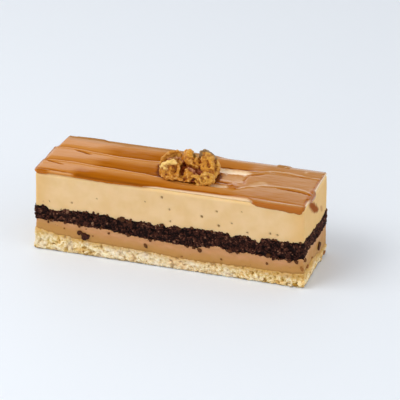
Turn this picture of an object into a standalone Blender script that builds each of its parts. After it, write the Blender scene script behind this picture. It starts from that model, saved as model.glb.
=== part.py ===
"""A bar-shaped slice of layered caramel cream cake, cut on all four sides.

From the bottom up: a pale sponge base, a thin mocha cream, a dark chocolate cake,
a thick caramel cream, a combed caramel glaze and half a walnut pressed into it.

Sizes below are in millimetres and become metres when a piece is finished.
x runs along the bar, y from its front cut (-y) to its back cut (+y), z is up.
"""

import math

import bmesh
import bpy
from mathutils import Matrix, Vector, noise

MM = 0.001

# Driving sizes
LENGTH = 130.0
WIDTH = 38.6
END_SKEW = 2.2  # the left end is cut a little askew: its back corner stands in by this much
END_LEAN = 1.3  # and it leans: its foot stands out by this much more than its top
FOOT_SPREAD = 1.0  # the lowest crumb of the sponge is pressed out at that end
CORNER = 1.2  # radius of the four upright edges
GAP = 0.3  # clearance between two layers
CREAM_TOP = 40.4
GLAZE_MIN = 0.4  # the glaze where the spatula wiped it thinnest
GLAZE_BODY = 0.9  # the glaze on average

# Heights of the layers along the front cut, as (distance from the left end, height)
SPONGE_TOP = ((0, 10.8), (10, 9.4), (25, 8.1), (50, 7.3), (78, 6.1), (104, 6.9), (130, 7.0))
MOCHA_TOP = ((0, 16.1), (32, 15.6), (52, 14.1), (76, 13.2), (89, 14.6), (97, 13.9), (130, 14.1))
CAKE_TOP = ((0, 23.5), (9, 21.8), (20, 23.1), (42, 22.5), (62, 22.0), (82, 23.1), (107, 22.2), (130, 23.4))

# Mesh density
STEP = 2.6  # spacing of the points round the cut faces
INSET = 2.0  # the cut faces' crags reach this far into a layer
GLAZE_STEPS = 52  # along the bar

# The glaze is combed lengthwise into three bands that overlap like shingles.
# Each is given by the distance of its raised back edge from the back cut.
BAND_EDGES = (0.0, 13.5, 27.4)
BAND_ROWS = (0.0, 0.06, 0.22, 0.45, 0.7, 0.9)
BAND_DROP = 0.85  # how far a band falls from its raised edge to its front

# How far the bands stand out over the left end, as (distance from the back cut, reach)
LEFT_OVERHANG = ((0, -0.1), (12, -0.1), (14.5, 1.5), (20, 1.4), (25, 0.2), (28.5, 0.6), (36, 0.6), (38.6, 0.0))

# Walnut half: each lobe as (x, y, z) of its centre, its (x, y, z) radii and its turn about z
WALNUT_SEAT = 41.5
WALNUT_VOXEL = 1.0
WALNUT_LOBES = {
    "body_left": ((-0.6, -4.8, 44.3), (7.2, 7.8, 3.2), 10),
    "body_middle": ((5.6, -4.2, 44.2), (8.2, 8.6, 3.2), 0),
    "body_right": ((12.0, -4.2, 44.3), (7.0, 8.2, 3.3), -12),
    "front_left_brow": ((-3.6, -6.2, 47.0), (3.9, 4.2, 2.5), 25),
    "front_left_cheek": ((-4.4, -9.3, 45.0), (3.6, 3.4, 2.9), 0),
    "front_left_knuckle": ((0.2, -9.0, 45.4), (2.3, 3.4, 2.9), -15),
    "back_left_rim_a": ((-6.6, -0.4, 46.4), (1.6, 3.2, 2.6), -20),
    "back_left_rim_b": ((-4.4, 2.8, 47.4), (3.0, 1.6, 2.4), 25),
    "back_left_rim_c": ((-1.4, 3.6, 47.3), (2.0, 1.7, 2.3), 0),
    "middle_back": ((3.2, 1.6, 48.9), (2.9, 3.4, 3.5), 10),
    "middle_spur": ((5.6, -2.0, 47.6), (3.0, 3.4, 2.6), -35),
    "right_back": ((11.2, 2.6, 49.1), (3.5, 3.0, 3.6), -10),
    "right_shoulder": ((14.4, 1.4, 47.8), (3.4, 3.4, 3.4), -30),
    "right_centre": ((11.0, -2.0, 47.8), (3.4, 3.6, 2.7), 0),
    "right_rim": ((17.0, -2.0, 46.0), (2.3, 4.6, 3.2), 12),
    "right_front": ((15.6, -7.6, 45.2), (3.2, 4.0, 3.1), 20),
    "front_right": ((13.8, -11.0, 44.2), (4.0, 2.6, 2.5), 10),
    "front_middle": ((6.2, -9.6, 45.2), (2.3, 3.0, 2.8), 10),
    "septum": ((8.2, -6.4, 46.2), (5.6, 1.2, 1.6), -32),
}


def smooth(t):
    """Eases a share from 0 to 1, held inside those limits."""
    t = min(1.0, max(0.0, t))
    return t * t * (3.0 - 2.0 * t)


def profile(stations, distance):
    """Height at a distance from the left end, eased between the stations."""
    for (start, low), (end, high) in zip(stations, stations[1:]):
        if distance <= end:
            return low + (high - low) * smooth((distance - start) / (end - start))
    return stations[-1][1]


def crags(x, y, z, size):
    """Seeded relief from about -1 to 1, with bumps of the given size."""
    return noise.noise(Vector((x, y, z)) / size) + 0.5 * noise.noise(Vector((y, z, x)) * 2.3 / size)


def outward(x, y):
    """Unit direction out of the cut faces for a point on them, and zero further in."""
    core_x = min(LENGTH / 2 - CORNER, max(CORNER - LENGTH / 2, x))
    core_y = min(WIDTH / 2 - CORNER, max(CORNER - WIDTH / 2, y))
    away = Vector((x - core_x, y - core_y, 0.0))
    return away.normalized() if away.length > 0.5 * CORNER else Vector()


def skew(x, y, z):
    """Slants the left end: its back stands in, and its foot stands out."""
    lean = END_LEAN * (1.0 - z / CREAM_TOP)
    spread = FOOT_SPREAD * smooth(1.0 - z / 4.0) * smooth((-x - LENGTH / 2 + 12.0) / 12.0)
    return x + (END_SKEW * (0.5 + y / WIDTH) - lean) * (0.5 - x / LENGTH) - spread


def boundary(stations, ragged, x, y):
    """Height of the surface between two layers, ragged by the given amount where it meets the cuts."""
    towards_back = smooth(0.5 + y / WIDTH)
    sway = 0.5 * math.sin(x / 17.0 + stations[0][1]) * towards_back
    height = profile(stations, x + LENGTH / 2) + sway
    if outward(x, y).length:
        height += ragged * crags(x, y, stations[0][1], 2.4)
    return height


def sponge_foot(x, y):
    """Underside of the sponge: flat, with a ragged lower edge."""
    if not outward(x, y).length:
        return 0.0
    return max(0.0, 0.5 + 0.4 * crags(x, y, 0.0, 3.1))


def sponge_top(x, y):
    return boundary(SPONGE_TOP, 0.3, x, y)


def mocha_top(x, y):
    return boundary(MOCHA_TOP, 0.5, x, y)


def cake_top(x, y):
    return boundary(CAKE_TOP, 0.7, x, y)


def cream_top(x, y):
    """Level top of the caramel cream, with a softly rounded edge."""
    return CREAM_TOP - (0.5 if outward(x, y).length else 0.0)


def footprint():
    """The bar seen from above, in triangles: a fine ring round the cuts and long ones across the middle."""
    bm = bmesh.new()
    bmesh.ops.create_grid(bm, x_segments=1, y_segments=1, size=0.5)
    bmesh.ops.scale(bm, vec=(LENGTH, WIDTH, 1.0), verts=bm.verts[:])
    bmesh.ops.delete(bm, geom=bm.faces[:], context="FACES_ONLY")
    for axis, span in ((0, LENGTH), (1, WIDTH)):
        sides = [e for e in bm.edges if abs(e.verts[0].co[axis] - e.verts[1].co[axis]) > 0.9 * span]
        bmesh.ops.subdivide_edges(bm, edges=sides, cuts=round(span / STEP) - 1)
    bmesh.ops.edgeloop_fill(bm, edges=bm.edges[:])
    corners = [v for v in bm.verts if abs(v.co.x) > 0.499 * LENGTH and abs(v.co.y) > 0.499 * WIDTH]
    bmesh.ops.bevel(
        bm, geom=corners, affect="VERTICES", offset=CORNER, offset_type="OFFSET", segments=2, profile=0.5, material=-1
    )
    bmesh.ops.inset_individual(bm, faces=bm.faces[:], thickness=INSET)
    bmesh.ops.triangulate(bm, faces=bm.faces[:])
    return bm


def finish(name, bm, colour, roughness):
    """Turns a mesh in millimetres into a named object in metres with its own material."""
    bmesh.ops.recalc_face_normals(bm, faces=bm.faces[:])
    bmesh.ops.scale(bm, vec=(MM, MM, MM), verts=bm.verts[:])
    mesh = bpy.data.meshes.new(name)
    bm.to_mesh(mesh)
    bm.free()
    mesh.shade_smooth()
    mesh.set_sharp_from_angle(angle=math.radians(40))
    material = bpy.data.materials.new(name)
    material.use_nodes = True
    shader = material.node_tree.nodes["Principled BSDF"]
    shader.inputs["Base Color"].default_value = (*colour, 1.0)
    shader.inputs["Roughness"].default_value = roughness
    shader.inputs["Metallic"].default_value = 0.0
    mesh.materials.append(material)
    piece = bpy.data.objects.new(name, mesh)
    bpy.context.scene.collection.objects.link(piece)
    return piece


def layer(name, bottom, top, rows, relief, grain, proud, colour, roughness):
    """One layer of the bar, from its bottom surface to its top one.

    Its cut faces are rough by the relief, and stand proud of the creams' most at the left end.
    """
    bm = footprint()
    raised = bmesh.ops.extrude_face_region(bm, geom=bm.faces[:])["geom"]
    bmesh.ops.translate(bm, vec=(0, 0, 1), verts=[g for g in raised if isinstance(g, bmesh.types.BMVert)])
    upright = [e for e in bm.edges if abs(e.verts[0].co.z - e.verts[1].co.z) > 0.5]
    bmesh.ops.subdivide_edges(bm, edges=upright, cuts=rows - 1)
    for vert in bm.verts:
        x, y, share = vert.co
        low = bottom(x, y)
        z = low + (top(x, y) - low) * share
        between = 4.0 * share * (1.0 - share)  # 0 where a neighbour meets it
        depth = relief * min(1.0, 0.25 + between) * crags(x, y, z, grain)
        depth += proud * between * (1.0 + 2.0 * smooth((-x - LENGTH / 2 + 6.0) / 4.0))
        place = Vector((x, y, z)) + outward(x, y) * depth
        vert.co = (skew(*place), place.y, place.z)
    return finish(name, bm, colour, roughness)


def above(surface):
    """The same surface, raised by the clearance between two layers."""
    return lambda x, y: surface(x, y) + GAP


def band_edges(x):
    """Distances of the bands' raised edges from the back cut; they wander a little along the bar."""
    wander = 0.5 * math.sin(x / 15.0)
    return [edge + (wander if edge else 0.0) for edge in BAND_EDGES] + [WIDTH]


def band_strength(x):
    """The comb pressed hardest left of the middle; to the right the spatula smoothed its bands again."""
    distance = x + LENGTH / 2
    return 0.35 + 0.65 * smooth((92.0 - distance) / 16.0)


def under_walnut(x, y):
    """1 where the walnut presses the glaze thin, fading to 0 round it."""
    away = math.hypot((x - 5.5) / 17.0, (y + 4.2) / 13.0)
    return smooth((1.18 - away) / 0.18)


def wiped(x, y):
    """1 in the patch right of the walnut where the glaze was wiped off almost to the cream."""
    away = math.hypot((x - 23.5) / 8.5, (y - 3.4) / 5.5)
    return smooth((1.25 - away) / 0.5)


def glaze_top(x, y):
    """Top of the glaze: three shingled bands, thinner under the walnut and in the wiped patch."""
    from_back = WIDTH / 2 - y
    edges = band_edges(x)
    band = max(i for i in range(3) if from_back >= edges[i] - 0.3 or i == 0)
    share = (from_back - edges[band]) / (edges[band + 1] - edges[band])
    fall = BAND_DROP * band_strength(x) * (0.35 - max(0.0, share) ** 2)
    swell = 0.12 * crags(x, y, 5.0, 16.0)
    thickness = max(GLAZE_MIN, GLAZE_BODY + fall + swell)
    thin = max(under_walnut(x, y), wiped(x, y))
    return CREAM_TOP + GAP + thickness + (GLAZE_MIN - thickness) * thin


def lip(x, y):
    """(reach past the cut face, drop below the cream's top) of the glaze's rim."""
    distance = x + LENGTH / 2
    if x < CORNER - LENGTH / 2:
        return profile(LEFT_OVERHANG, WIDTH / 2 - y), 0.0
    if y > 0 or x > LENGTH / 2 - CORNER:
        return 0.25 * crags(x, y, 9.0, 6.0), 0.0
    fold = smooth((64.0 - distance) / 8.0)
    wedge = smooth((distance - 101.0) / 6.0)
    reach = 1.0 * max(fold, wedge) - 0.6
    drop = 1.1 * fold + 2.9 * wedge * smooth((distance - 100.0) / 26.0)
    return reach, (drop if reach > GAP else 0.0)


def on_cut(x, y, reach):
    """The point this far out of the cut faces beside a point of the glaze's rim, round the corners too."""
    core_x = min(LENGTH / 2 - CORNER, max(CORNER - LENGTH / 2, x))
    core_y = min(WIDTH / 2 - CORNER, max(CORNER - WIDTH / 2, y))
    return Vector((core_x, core_y, 0.0)) + outward(x, y) * (CORNER + reach)


def banded_sheet():
    """A flat grid over the whole bar, its lines closest at the bands' edges. It keeps each point's place."""
    bm = bmesh.new()
    rows = [(band, share) for band in range(3) for share in BAND_ROWS] + [(2, 1.0)]
    bmesh.ops.create_grid(bm, x_segments=GLAZE_STEPS, y_segments=len(rows) - 1, size=0.5)
    place = bm.verts.layers.float_vector.new("place")
    for vert in bm.verts:
        x = vert.co.x * LENGTH
        band, share = rows[round((0.5 - vert.co.y) * (len(rows) - 1))]
        edges = band_edges(x)
        y = WIDTH / 2 - (edges[band] + (edges[band + 1] - edges[band]) * share)
        vert[place] = (x, y, 0.0)
    return bm, place


def glaze():
    """The caramel glaze: a sheet on the cream whose rim hangs over the front cut in places."""
    bm, place = banded_sheet()
    rim = [e for e in bm.edges if e.is_boundary]
    rim_verts = {v for e in rim for v in e.verts}
    for vert in bm.verts:
        x, y, _ = vert[place]
        vert.co = (x, y, glaze_top(x, y))
        if vert in rim_verts:
            vert.co.xy = on_cut(x, y, lip(x, y)[0] - 0.3).xy
            vert.co.z -= 0.15
    level = CREAM_TOP + GAP
    # Rings run down from the rim as (way out, lift, hangs): its widest line, its lowest one, and back up behind it.
    for out, lift, hangs in ((0.0, 0.4, 0.5), (-0.1, 0.0, 1.0), (None, 0.0, 1.0), (None, 0.0, 0.0)):
        made = bmesh.ops.extrude_edge_only(bm, edges=rim)["geom"]
        rim = [g for g in made if isinstance(g, bmesh.types.BMEdge)]
        for vert in {v for e in rim for v in e.verts}:
            x, y, _ = vert[place]
            reach, drop = lip(x, y)
            vert.co = on_cut(x, y, min(GAP, reach - 0.1) if out is None else reach + out)
            vert.co.z = level + lift - drop * hangs
    bmesh.ops.holes_fill(bm, edges=rim, sides=0)
    bmesh.ops.remove_doubles(bm, verts=bm.verts[:], dist=0.01)
    bmesh.ops.triangulate(bm, faces=bm.faces[:])
    for vert in bm.verts:
        vert.co.x = skew(*vert.co)
    return finish("caramel_glaze", bm, (0.50, 0.19, 0.03), 0.25)


def walnut():
    """Half a walnut kernel, its hollow side up: lobes melted into one body and cut flat where it sits."""
    bm = bmesh.new()
    for centre, radii, turn in WALNUT_LOBES.values():
        shape = Matrix.LocRotScale(
            Vector(centre), Matrix.Rotation(math.radians(turn), 3, "Z"), Vector(radii)
        )
        bmesh.ops.create_icosphere(bm, subdivisions=3, radius=1.0, matrix=shape)
    bmesh.ops.scale(bm, vec=(MM, MM, MM), verts=bm.verts[:])
    mesh = bpy.data.meshes.new("walnut_lobes")
    bm.to_mesh(mesh)
    bm.free()
    lobes = bpy.data.objects.new("walnut_lobes", mesh)
    bpy.context.scene.collection.objects.link(lobes)
    melt = lobes.modifiers.new("melt", "REMESH")
    melt.mode = "VOXEL"
    melt.voxel_size = WALNUT_VOXEL * MM
    graph = bpy.context.evaluated_depsgraph_get()
    melted = bmesh.new()
    melted.from_object(lobes, graph)
    bpy.data.objects.remove(lobes)
    bpy.data.meshes.remove(mesh)
    bmesh.ops.scale(melted, vec=(1 / MM, 1 / MM, 1 / MM), verts=melted.verts[:])
    cut = bmesh.ops.bisect_plane(
        melted,
        geom=melted.verts[:] + melted.edges[:] + melted.faces[:],
        plane_co=(0, 0, WALNUT_SEAT),
        plane_no=(0, 0, -1),
        clear_outer=True,
    )
    open_edges = [g for g in cut["geom_cut"] if isinstance(g, bmesh.types.BMEdge)]
    bmesh.ops.holes_fill(melted, edges=open_edges, sides=0)
    bmesh.ops.triangulate(melted, faces=melted.faces[:])
    return finish("walnut_half", melted, (0.45, 0.24, 0.06), 0.45)


def stand_on_origin(pieces):
    """Moves the whole bar so that the middle of its underside is at the origin."""
    points = [v.co for piece in pieces for v in piece.data.vertices]
    low = Vector(map(min, *points))
    high = Vector(map(max, *points))
    middle = Vector(((low.x + high.x) / 2, (low.y + high.y) / 2, low.z))
    for piece in pieces:
        piece.data.transform(Matrix.Translation(-middle))


def main():
    for piece in list(bpy.data.objects):
        bpy.data.objects.remove(piece)
    pieces = [
        layer("sponge_base", sponge_foot, sponge_top, 3, 0.5, 2.2, 0.15, (0.80, 0.62, 0.33), 0.9),
        layer("mocha_cream", above(sponge_top), mocha_top, 2, 0.2, 5.0, 0.0, (0.55, 0.28, 0.12), 0.6),
        layer("chocolate_cake", above(mocha_top), cake_top, 4, 0.55, 1.9, 0.25, (0.025, 0.01, 0.008), 0.95),
        layer("caramel_cream", above(cake_top), cream_top, 4, 0.12, 9.0, 0.0, (0.77, 0.53, 0.28), 0.5),
        glaze(),
        walnut(),
    ]
    stand_on_origin(pieces)


main()
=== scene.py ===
import math

import bmesh
import bpy
from mathutils import Matrix, Vector, kdtree, noise


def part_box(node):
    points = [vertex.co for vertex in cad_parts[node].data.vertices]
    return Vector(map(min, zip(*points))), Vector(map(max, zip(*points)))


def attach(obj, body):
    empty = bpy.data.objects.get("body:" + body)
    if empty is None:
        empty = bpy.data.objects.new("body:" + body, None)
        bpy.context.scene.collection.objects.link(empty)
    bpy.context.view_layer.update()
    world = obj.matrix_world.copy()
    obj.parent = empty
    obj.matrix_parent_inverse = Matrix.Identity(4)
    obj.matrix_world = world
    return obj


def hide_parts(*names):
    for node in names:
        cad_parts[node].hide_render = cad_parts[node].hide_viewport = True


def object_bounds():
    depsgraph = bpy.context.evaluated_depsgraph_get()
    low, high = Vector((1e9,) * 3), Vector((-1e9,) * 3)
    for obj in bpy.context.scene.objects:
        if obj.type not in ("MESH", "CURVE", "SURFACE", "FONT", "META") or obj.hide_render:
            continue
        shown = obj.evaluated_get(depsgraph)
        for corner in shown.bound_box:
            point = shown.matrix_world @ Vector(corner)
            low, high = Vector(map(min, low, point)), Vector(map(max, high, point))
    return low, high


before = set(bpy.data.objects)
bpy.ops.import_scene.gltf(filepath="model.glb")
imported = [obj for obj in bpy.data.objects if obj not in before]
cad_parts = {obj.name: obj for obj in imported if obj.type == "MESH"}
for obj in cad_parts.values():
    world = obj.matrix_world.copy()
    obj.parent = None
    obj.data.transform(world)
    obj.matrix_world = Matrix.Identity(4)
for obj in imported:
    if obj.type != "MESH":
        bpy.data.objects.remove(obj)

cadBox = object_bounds()
mm = 0.001  # every size below is in millimetres
noise.seed_set(3)  # noise vectors follow it too, so that every run gives the same crumb

# The bar as its solids have it: x runs along it, y from its front cut to its back cut.
bar = {
    "length": 130.0,
    "width": 38.6,
    "endSkew": 2.2,  # the left end's back corner stands in by this much
    "endLean": 1.3,  # and its foot stands out by this much more than its top
    "footSpread": 1.0,  # the lowest crumb of the sponge is pressed out there
    "corner": 1.2,
    "creamTop": 40.4,
    "rimDepth": 1.5,  # the cut faces' relief fades out this far behind them
    "frontDepth": 6.0,  # and the layer heights of the front cut, this far
    "insets": (0.3, 0.7, 1.3, 2.2, 4.0, 8.0),  # rings of points in a layer's top and bottom
}
halfLength = bar["length"] / 2
halfWidth = bar["width"] / 2
kernelLow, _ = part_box("walnut_half")
kernelCorner = Vector((-8.368, -13.514, 0.0))  # the walnut solid's lowest corner, from the bar's middle
barCentre = kernelLow / mm - kernelCorner  # where the bar's middle stands in the frame
barCentre.z = 0.0

# The camera by its aim from the bar's middle, at the photograph's viewing angle
camera = {
    "aim": (9.62, -1.33, 28.25),
    "azimuth": 18.587,
    "elevation": 27.214,
    "roll": -0.55,
    "distance": 1113.1,
    "fieldOfView": 9.5186,
}
tilt = Matrix.Identity(3)
for degrees, axis in ((camera["azimuth"], "Z"), (90.0 - camera["elevation"], "X"), (camera["roll"], "Z")):
    tilt = tilt @ Matrix.Rotation(math.radians(degrees), 3, axis)
eye = Vector(camera["aim"]) + tilt @ Vector((0.0, 0.0, camera["distance"]))
halfView = math.tan(math.radians(camera["fieldOfView"]) / 2.0)
halfPicture = 200.0  # pixel places below are in a picture of 400 by 400


def seenAt(column, row, level, axis=2):
    # The point with this x, y or z from the bar's middle that shows at a pixel of the picture.
    across = (column - halfPicture) / halfPicture * halfView
    upwards = (halfPicture - row) / halfPicture * halfView
    sight = tilt @ Vector((across, upwards, -1.0))
    return eye + sight * ((level - eye[axis]) / sight[axis])


def pixelOf(point):
    # The (column, row) of the picture at which a point from the bar's middle shows.
    sight = tilt.transposed() @ (Vector(point) - eye)
    scale = halfPicture / (halfView * -sight.z)
    return Vector((halfPicture + scale * sight.x, halfPicture - scale * sight.y))


def smooth(share):
    # Eases from 0 to 1 without a kink.
    share = min(1.0, max(0.0, share))
    return share * share * (3.0 - 2.0 * share)


def profile(stations, distance):
    # Height at a distance from the left end, eased between the stations.
    for (start, low), (end, high) in zip(stations, stations[1:]):
        if distance <= end:
            return low + (high - low) * smooth((distance - start) / (end - start))
    return stations[-1][1]


def crags(point, size):
    # Uneven relief from about -1 to 1, with bumps of the given size.
    swapped = Vector((point[1], point[2], point[0]))
    return noise.noise(point / size) + 0.5 * noise.noise(swapped * 2.3 / size)


def grain(point, size):
    # (dome of the nearest crumb from 0 in its seam to 1, that crumb's own random value).
    distances, centres = noise.voronoi(point / size)
    dome = smooth((distances[1] - distances[0]) / 0.45)
    own = noise.noise(centres[0] * 3.7)
    return dome, own


def coreOf(x, y):
    # The nearest (x, y) inside the bar's rounded rim.
    core = bar["corner"]
    coreX = min(halfLength - core, max(core - halfLength, x))
    coreY = min(halfWidth - core, max(core - halfWidth, y))
    return coreX, coreY


def outward(x, y):
    # Unit direction out of the cut faces for a point on them, and zero further in.
    coreX, coreY = coreOf(x, y)
    away = Vector((x - coreX, y - coreY, 0.0))
    return away.normalized() if away.length > 0.5 * bar["corner"] else Vector()


def onCut(x, y, reach):
    # The point this far out of the cut faces beside a point of the outline.
    return Vector((*coreOf(x, y), 0.0)) + outward(x, y) * (bar["corner"] + reach)


def pressedOut(x):
    # 1 at the left end, where the crumb is pressed out, and 0 from 6 mm on.
    return smooth((-x - halfLength + 6.0) / 4.0)


def skewed(point):
    # Slants the left end: its back stands in, and its foot stands out.
    x, y, z = point
    slant = bar["endSkew"] * (0.5 + y / bar["width"]) - bar["endLean"] * (1.0 - z / bar["creamTop"])
    spread = bar["footSpread"] * smooth(1.0 - z / 4.0) * smooth((12.0 - halfLength - x) / 12.0)
    return Vector((x + slant * (0.5 - x / bar["length"]) - spread, y, z))


def linear(hexColour):
    # sRGB hex to the linear colour that a shader reads.
    parts = [int(hexColour[i:i + 2], 16) / 255 for i in (0, 2, 4)]
    return [c / 12.92 if c <= 0.04045 else ((c + 0.055) / 1.055) ** 2.4 for c in parts] + [1.0]


def addNode(tree, kind, settings, links=()):
    # Adds a node, sets its sockets and properties, and links (socket, source) pairs into it.
    # A node as a source stands for its first output.
    node = tree.nodes.new("ShaderNode" + kind)
    for name, value in settings.items():
        if isinstance(name, int) or name in node.inputs:
            node.inputs[name].default_value = linear(value) if isinstance(value, str) else value
        else:
            setattr(node, name, value)
    for name, source in links:
        output = source.outputs[0] if isinstance(source, bpy.types.Node) else source
        tree.links.new(output, node.inputs[name])
    return node


def newMaterial(name):
    # (the material, its nodes, the place on the object that its patterns follow).
    material = bpy.data.materials.new(name)
    material.use_nodes = True
    tree = material.node_tree
    return material, tree, addNode(tree, "TexCoord", {}).outputs["Object"]


def varied(tree, value, pattern, amount):
    # A value that a noise pattern raises and lowers by up to this amount.
    vary = addNode(
        tree, "MapRange", {"From Min": 0.3, "From Max": 0.7, "To Min": -amount, "To Max": amount},
        [("Value", pattern)],
    )
    return addNode(tree, "Math", {"operation": "ADD"}, [(0, value), (1, vary)])


def finishMaterial(material, colour, layers, height, strength, depth, settings):
    # Lays (blend, colour, mask) layers over a first colour, adds the finest relief with this
    # strength and depth in millimetres, and sets the shader's own values.
    tree = material.node_tree
    shader = tree.nodes["Principled BSDF"]
    for blend, over, mask in layers:
        colour = addNode(
            tree, "MixRGB", {"blend_type": blend, "Color2": over}, [("Fac", mask), ("Color1", colour)]
        )
    bump = addNode(tree, "Bump", {"Strength": strength, "Distance": depth * mm}, [("Height", height)])
    tree.links.new(colour.outputs["Color"], shader.inputs["Base Color"])
    tree.links.new(bump.outputs["Normal"], shader.inputs["Normal"])
    for socket, value in settings.items():
        shader.inputs[socket].default_value = value
    return material


def finishPiece(name, bm, material, replaced=None):
    # A mesh in millimetres about the bar's middle becomes a piece of the object in the frame.
    bmesh.ops.recalc_face_normals(bm, faces=bm.faces[:])
    bmesh.ops.translate(bm, vec=barCentre, verts=bm.verts[:])
    bmesh.ops.scale(bm, vec=(mm, mm, mm), verts=bm.verts[:])
    low, high = cadBox
    for vert in bm.verts:  # no crumb stands out of the solids' box
        for axis in range(3):
            vert.co[axis] = min(high[axis], max(low[axis], vert.co[axis]))
    mesh = bpy.data.meshes.new(name)
    bm.to_mesh(mesh)
    bm.free()
    mesh.shade_smooth()
    mesh.materials.append(material)
    piece = bpy.data.objects.new(name, mesh)
    bpy.context.scene.collection.objects.link(piece)
    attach(piece, "root")
    if replaced:
        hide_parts(replaced)
    print(name, "has", sum(len(face.vertices) - 2 for face in mesh.polygons), "triangles")


def cutOutline(spacing):
    # The bar's rounded outline seen from above: one ring of edges, its points this far apart.
    bm = bmesh.new()
    size = Matrix.Diagonal((bar["length"], bar["width"], 1.0, 1.0))
    bmesh.ops.create_grid(bm, x_segments=1, y_segments=1, size=0.5, matrix=size)
    bmesh.ops.bevel(
        bm, geom=bm.verts[:], affect="VERTICES", offset=bar["corner"], offset_type="OFFSET",
        segments=max(2, round(1.5 * bar["corner"] / spacing)), profile=0.5, material=-1,
    )
    bmesh.ops.delete(bm, geom=bm.faces[:], context="FACES_ONLY")
    for axis, span in ((0, bar["length"]), (1, bar["width"])):
        # the two straight sides along this axis
        sides = [e for e in bm.edges if abs(e.verts[0].co[axis] - e.verts[1].co[axis]) > 0.8 * span]
        bmesh.ops.subdivide_edges(bm, edges=sides, cuts=round(span / spacing) - 1)
    return bm


def edgesIn(geometry):
    return [g for g in geometry if isinstance(g, bmesh.types.BMEdge)]


def vertsOf(edges):
    return {v for e in edges for v in e.verts}


def extrudeRing(bm, ring, lift=0.0):
    # One more ring of faces along a ring of edges, and the new edges.
    made = bmesh.ops.extrude_edge_only(bm, edges=ring)["geom"]
    risen = [g for g in made if isinstance(g, bmesh.types.BMVert)]
    bmesh.ops.translate(bm, vec=(0, 0, lift), verts=risen)
    return edgesIn(made)


def splitLarge(bm):
    # Cuts the faces of more than four corners into triangles.
    bmesh.ops.triangulate(bm, faces=[f for f in bm.faces if len(f.verts) > 4])


def cakeLayer(spacing, rows, bottom, top, rounding, relief):
    # A layer from its bottom surface to its top one. relief gives each point of the cut faces
    # (how far it stands out, how far it is lifted, its tone). The tone colours the layer, and so does
    # its rise, which is 0 at the bottom and 1 at the top.
    bm = cutOutline(spacing)
    inset = bm.verts.layers.float.new("inset")
    tone = bm.verts.layers.float.new("tone")
    rise = bm.verts.layers.float.new("rise")
    lowest = bm.edges[:]
    ring = lowest
    for _ in range(rows):
        ring = extrudeRing(bm, ring, 1.0 / rows)
    for ring in (lowest, ring):
        for depth in bar["insets"]:
            ring = extrudeRing(bm, ring)
            for vert in vertsOf(ring):
                vert[inset] = depth
        bmesh.ops.holes_fill(bm, edges=ring, sides=0)
    for vert in bm.verts:
        x, y, share = vert.co
        depth = vert[inset]
        out = outward(x, y)
        x *= 1.0 - depth / halfLength
        y *= 1.0 - depth / halfWidth
        low = bottom(x, y, depth)
        high = top(x, y, depth)
        fold = max(0.0, rounding - depth)
        drop = rounding - math.sqrt(max(0.0, rounding ** 2 - fold ** 2))
        z = low + (high - drop - low) * share
        near = min(1.0, min(z - low, high - z) / 0.8)  # 0 at the layer's own rims
        if depth > 2.0:  # too far behind the cut to show
            move, lift, colour = 0.0, 0.0, 0.5
        else:
            move, lift, colour = relief(Vector((x, y, z)), near)
        keep = 1.0 - smooth(depth / bar["rimDepth"])
        place = Vector((x, y, z + lift * keep)) + out * move * keep
        vert.co = skewed(place)
        vert[tone] = colour
        vert[rise] = share
    splitLarge(bm)
    return bm


def boundary(front, back, right, ragged, x, y, depth):
    # Height of the surface between two layers, as measured along the front cut and plainer behind it,
    # with what it rises or falls on the right end.
    distance = x + halfLength
    reach = bar["frontDepth"]
    towardsBack = smooth(0.5 + y / bar["width"])
    sway = 0.5 * math.sin(x / 17.0 + back[0][1]) * towardsBack
    atBack = profile(back, distance)
    atFront = profile(front, distance) if y < reach - halfWidth else atBack
    height = atFront + (atBack - atFront) * smooth((y + halfWidth) / reach) + sway
    height += profile(right, halfWidth + y) * smooth((x - halfLength + reach) / 5.0)
    atRim = 1.0 - smooth(depth / bar["rimDepth"])
    spot = Vector((x, y, back[0][1]))
    return height + ragged * atRim * (crags(spot, 2.4) + 0.6 * noise.noise(spot / 0.9))


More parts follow.
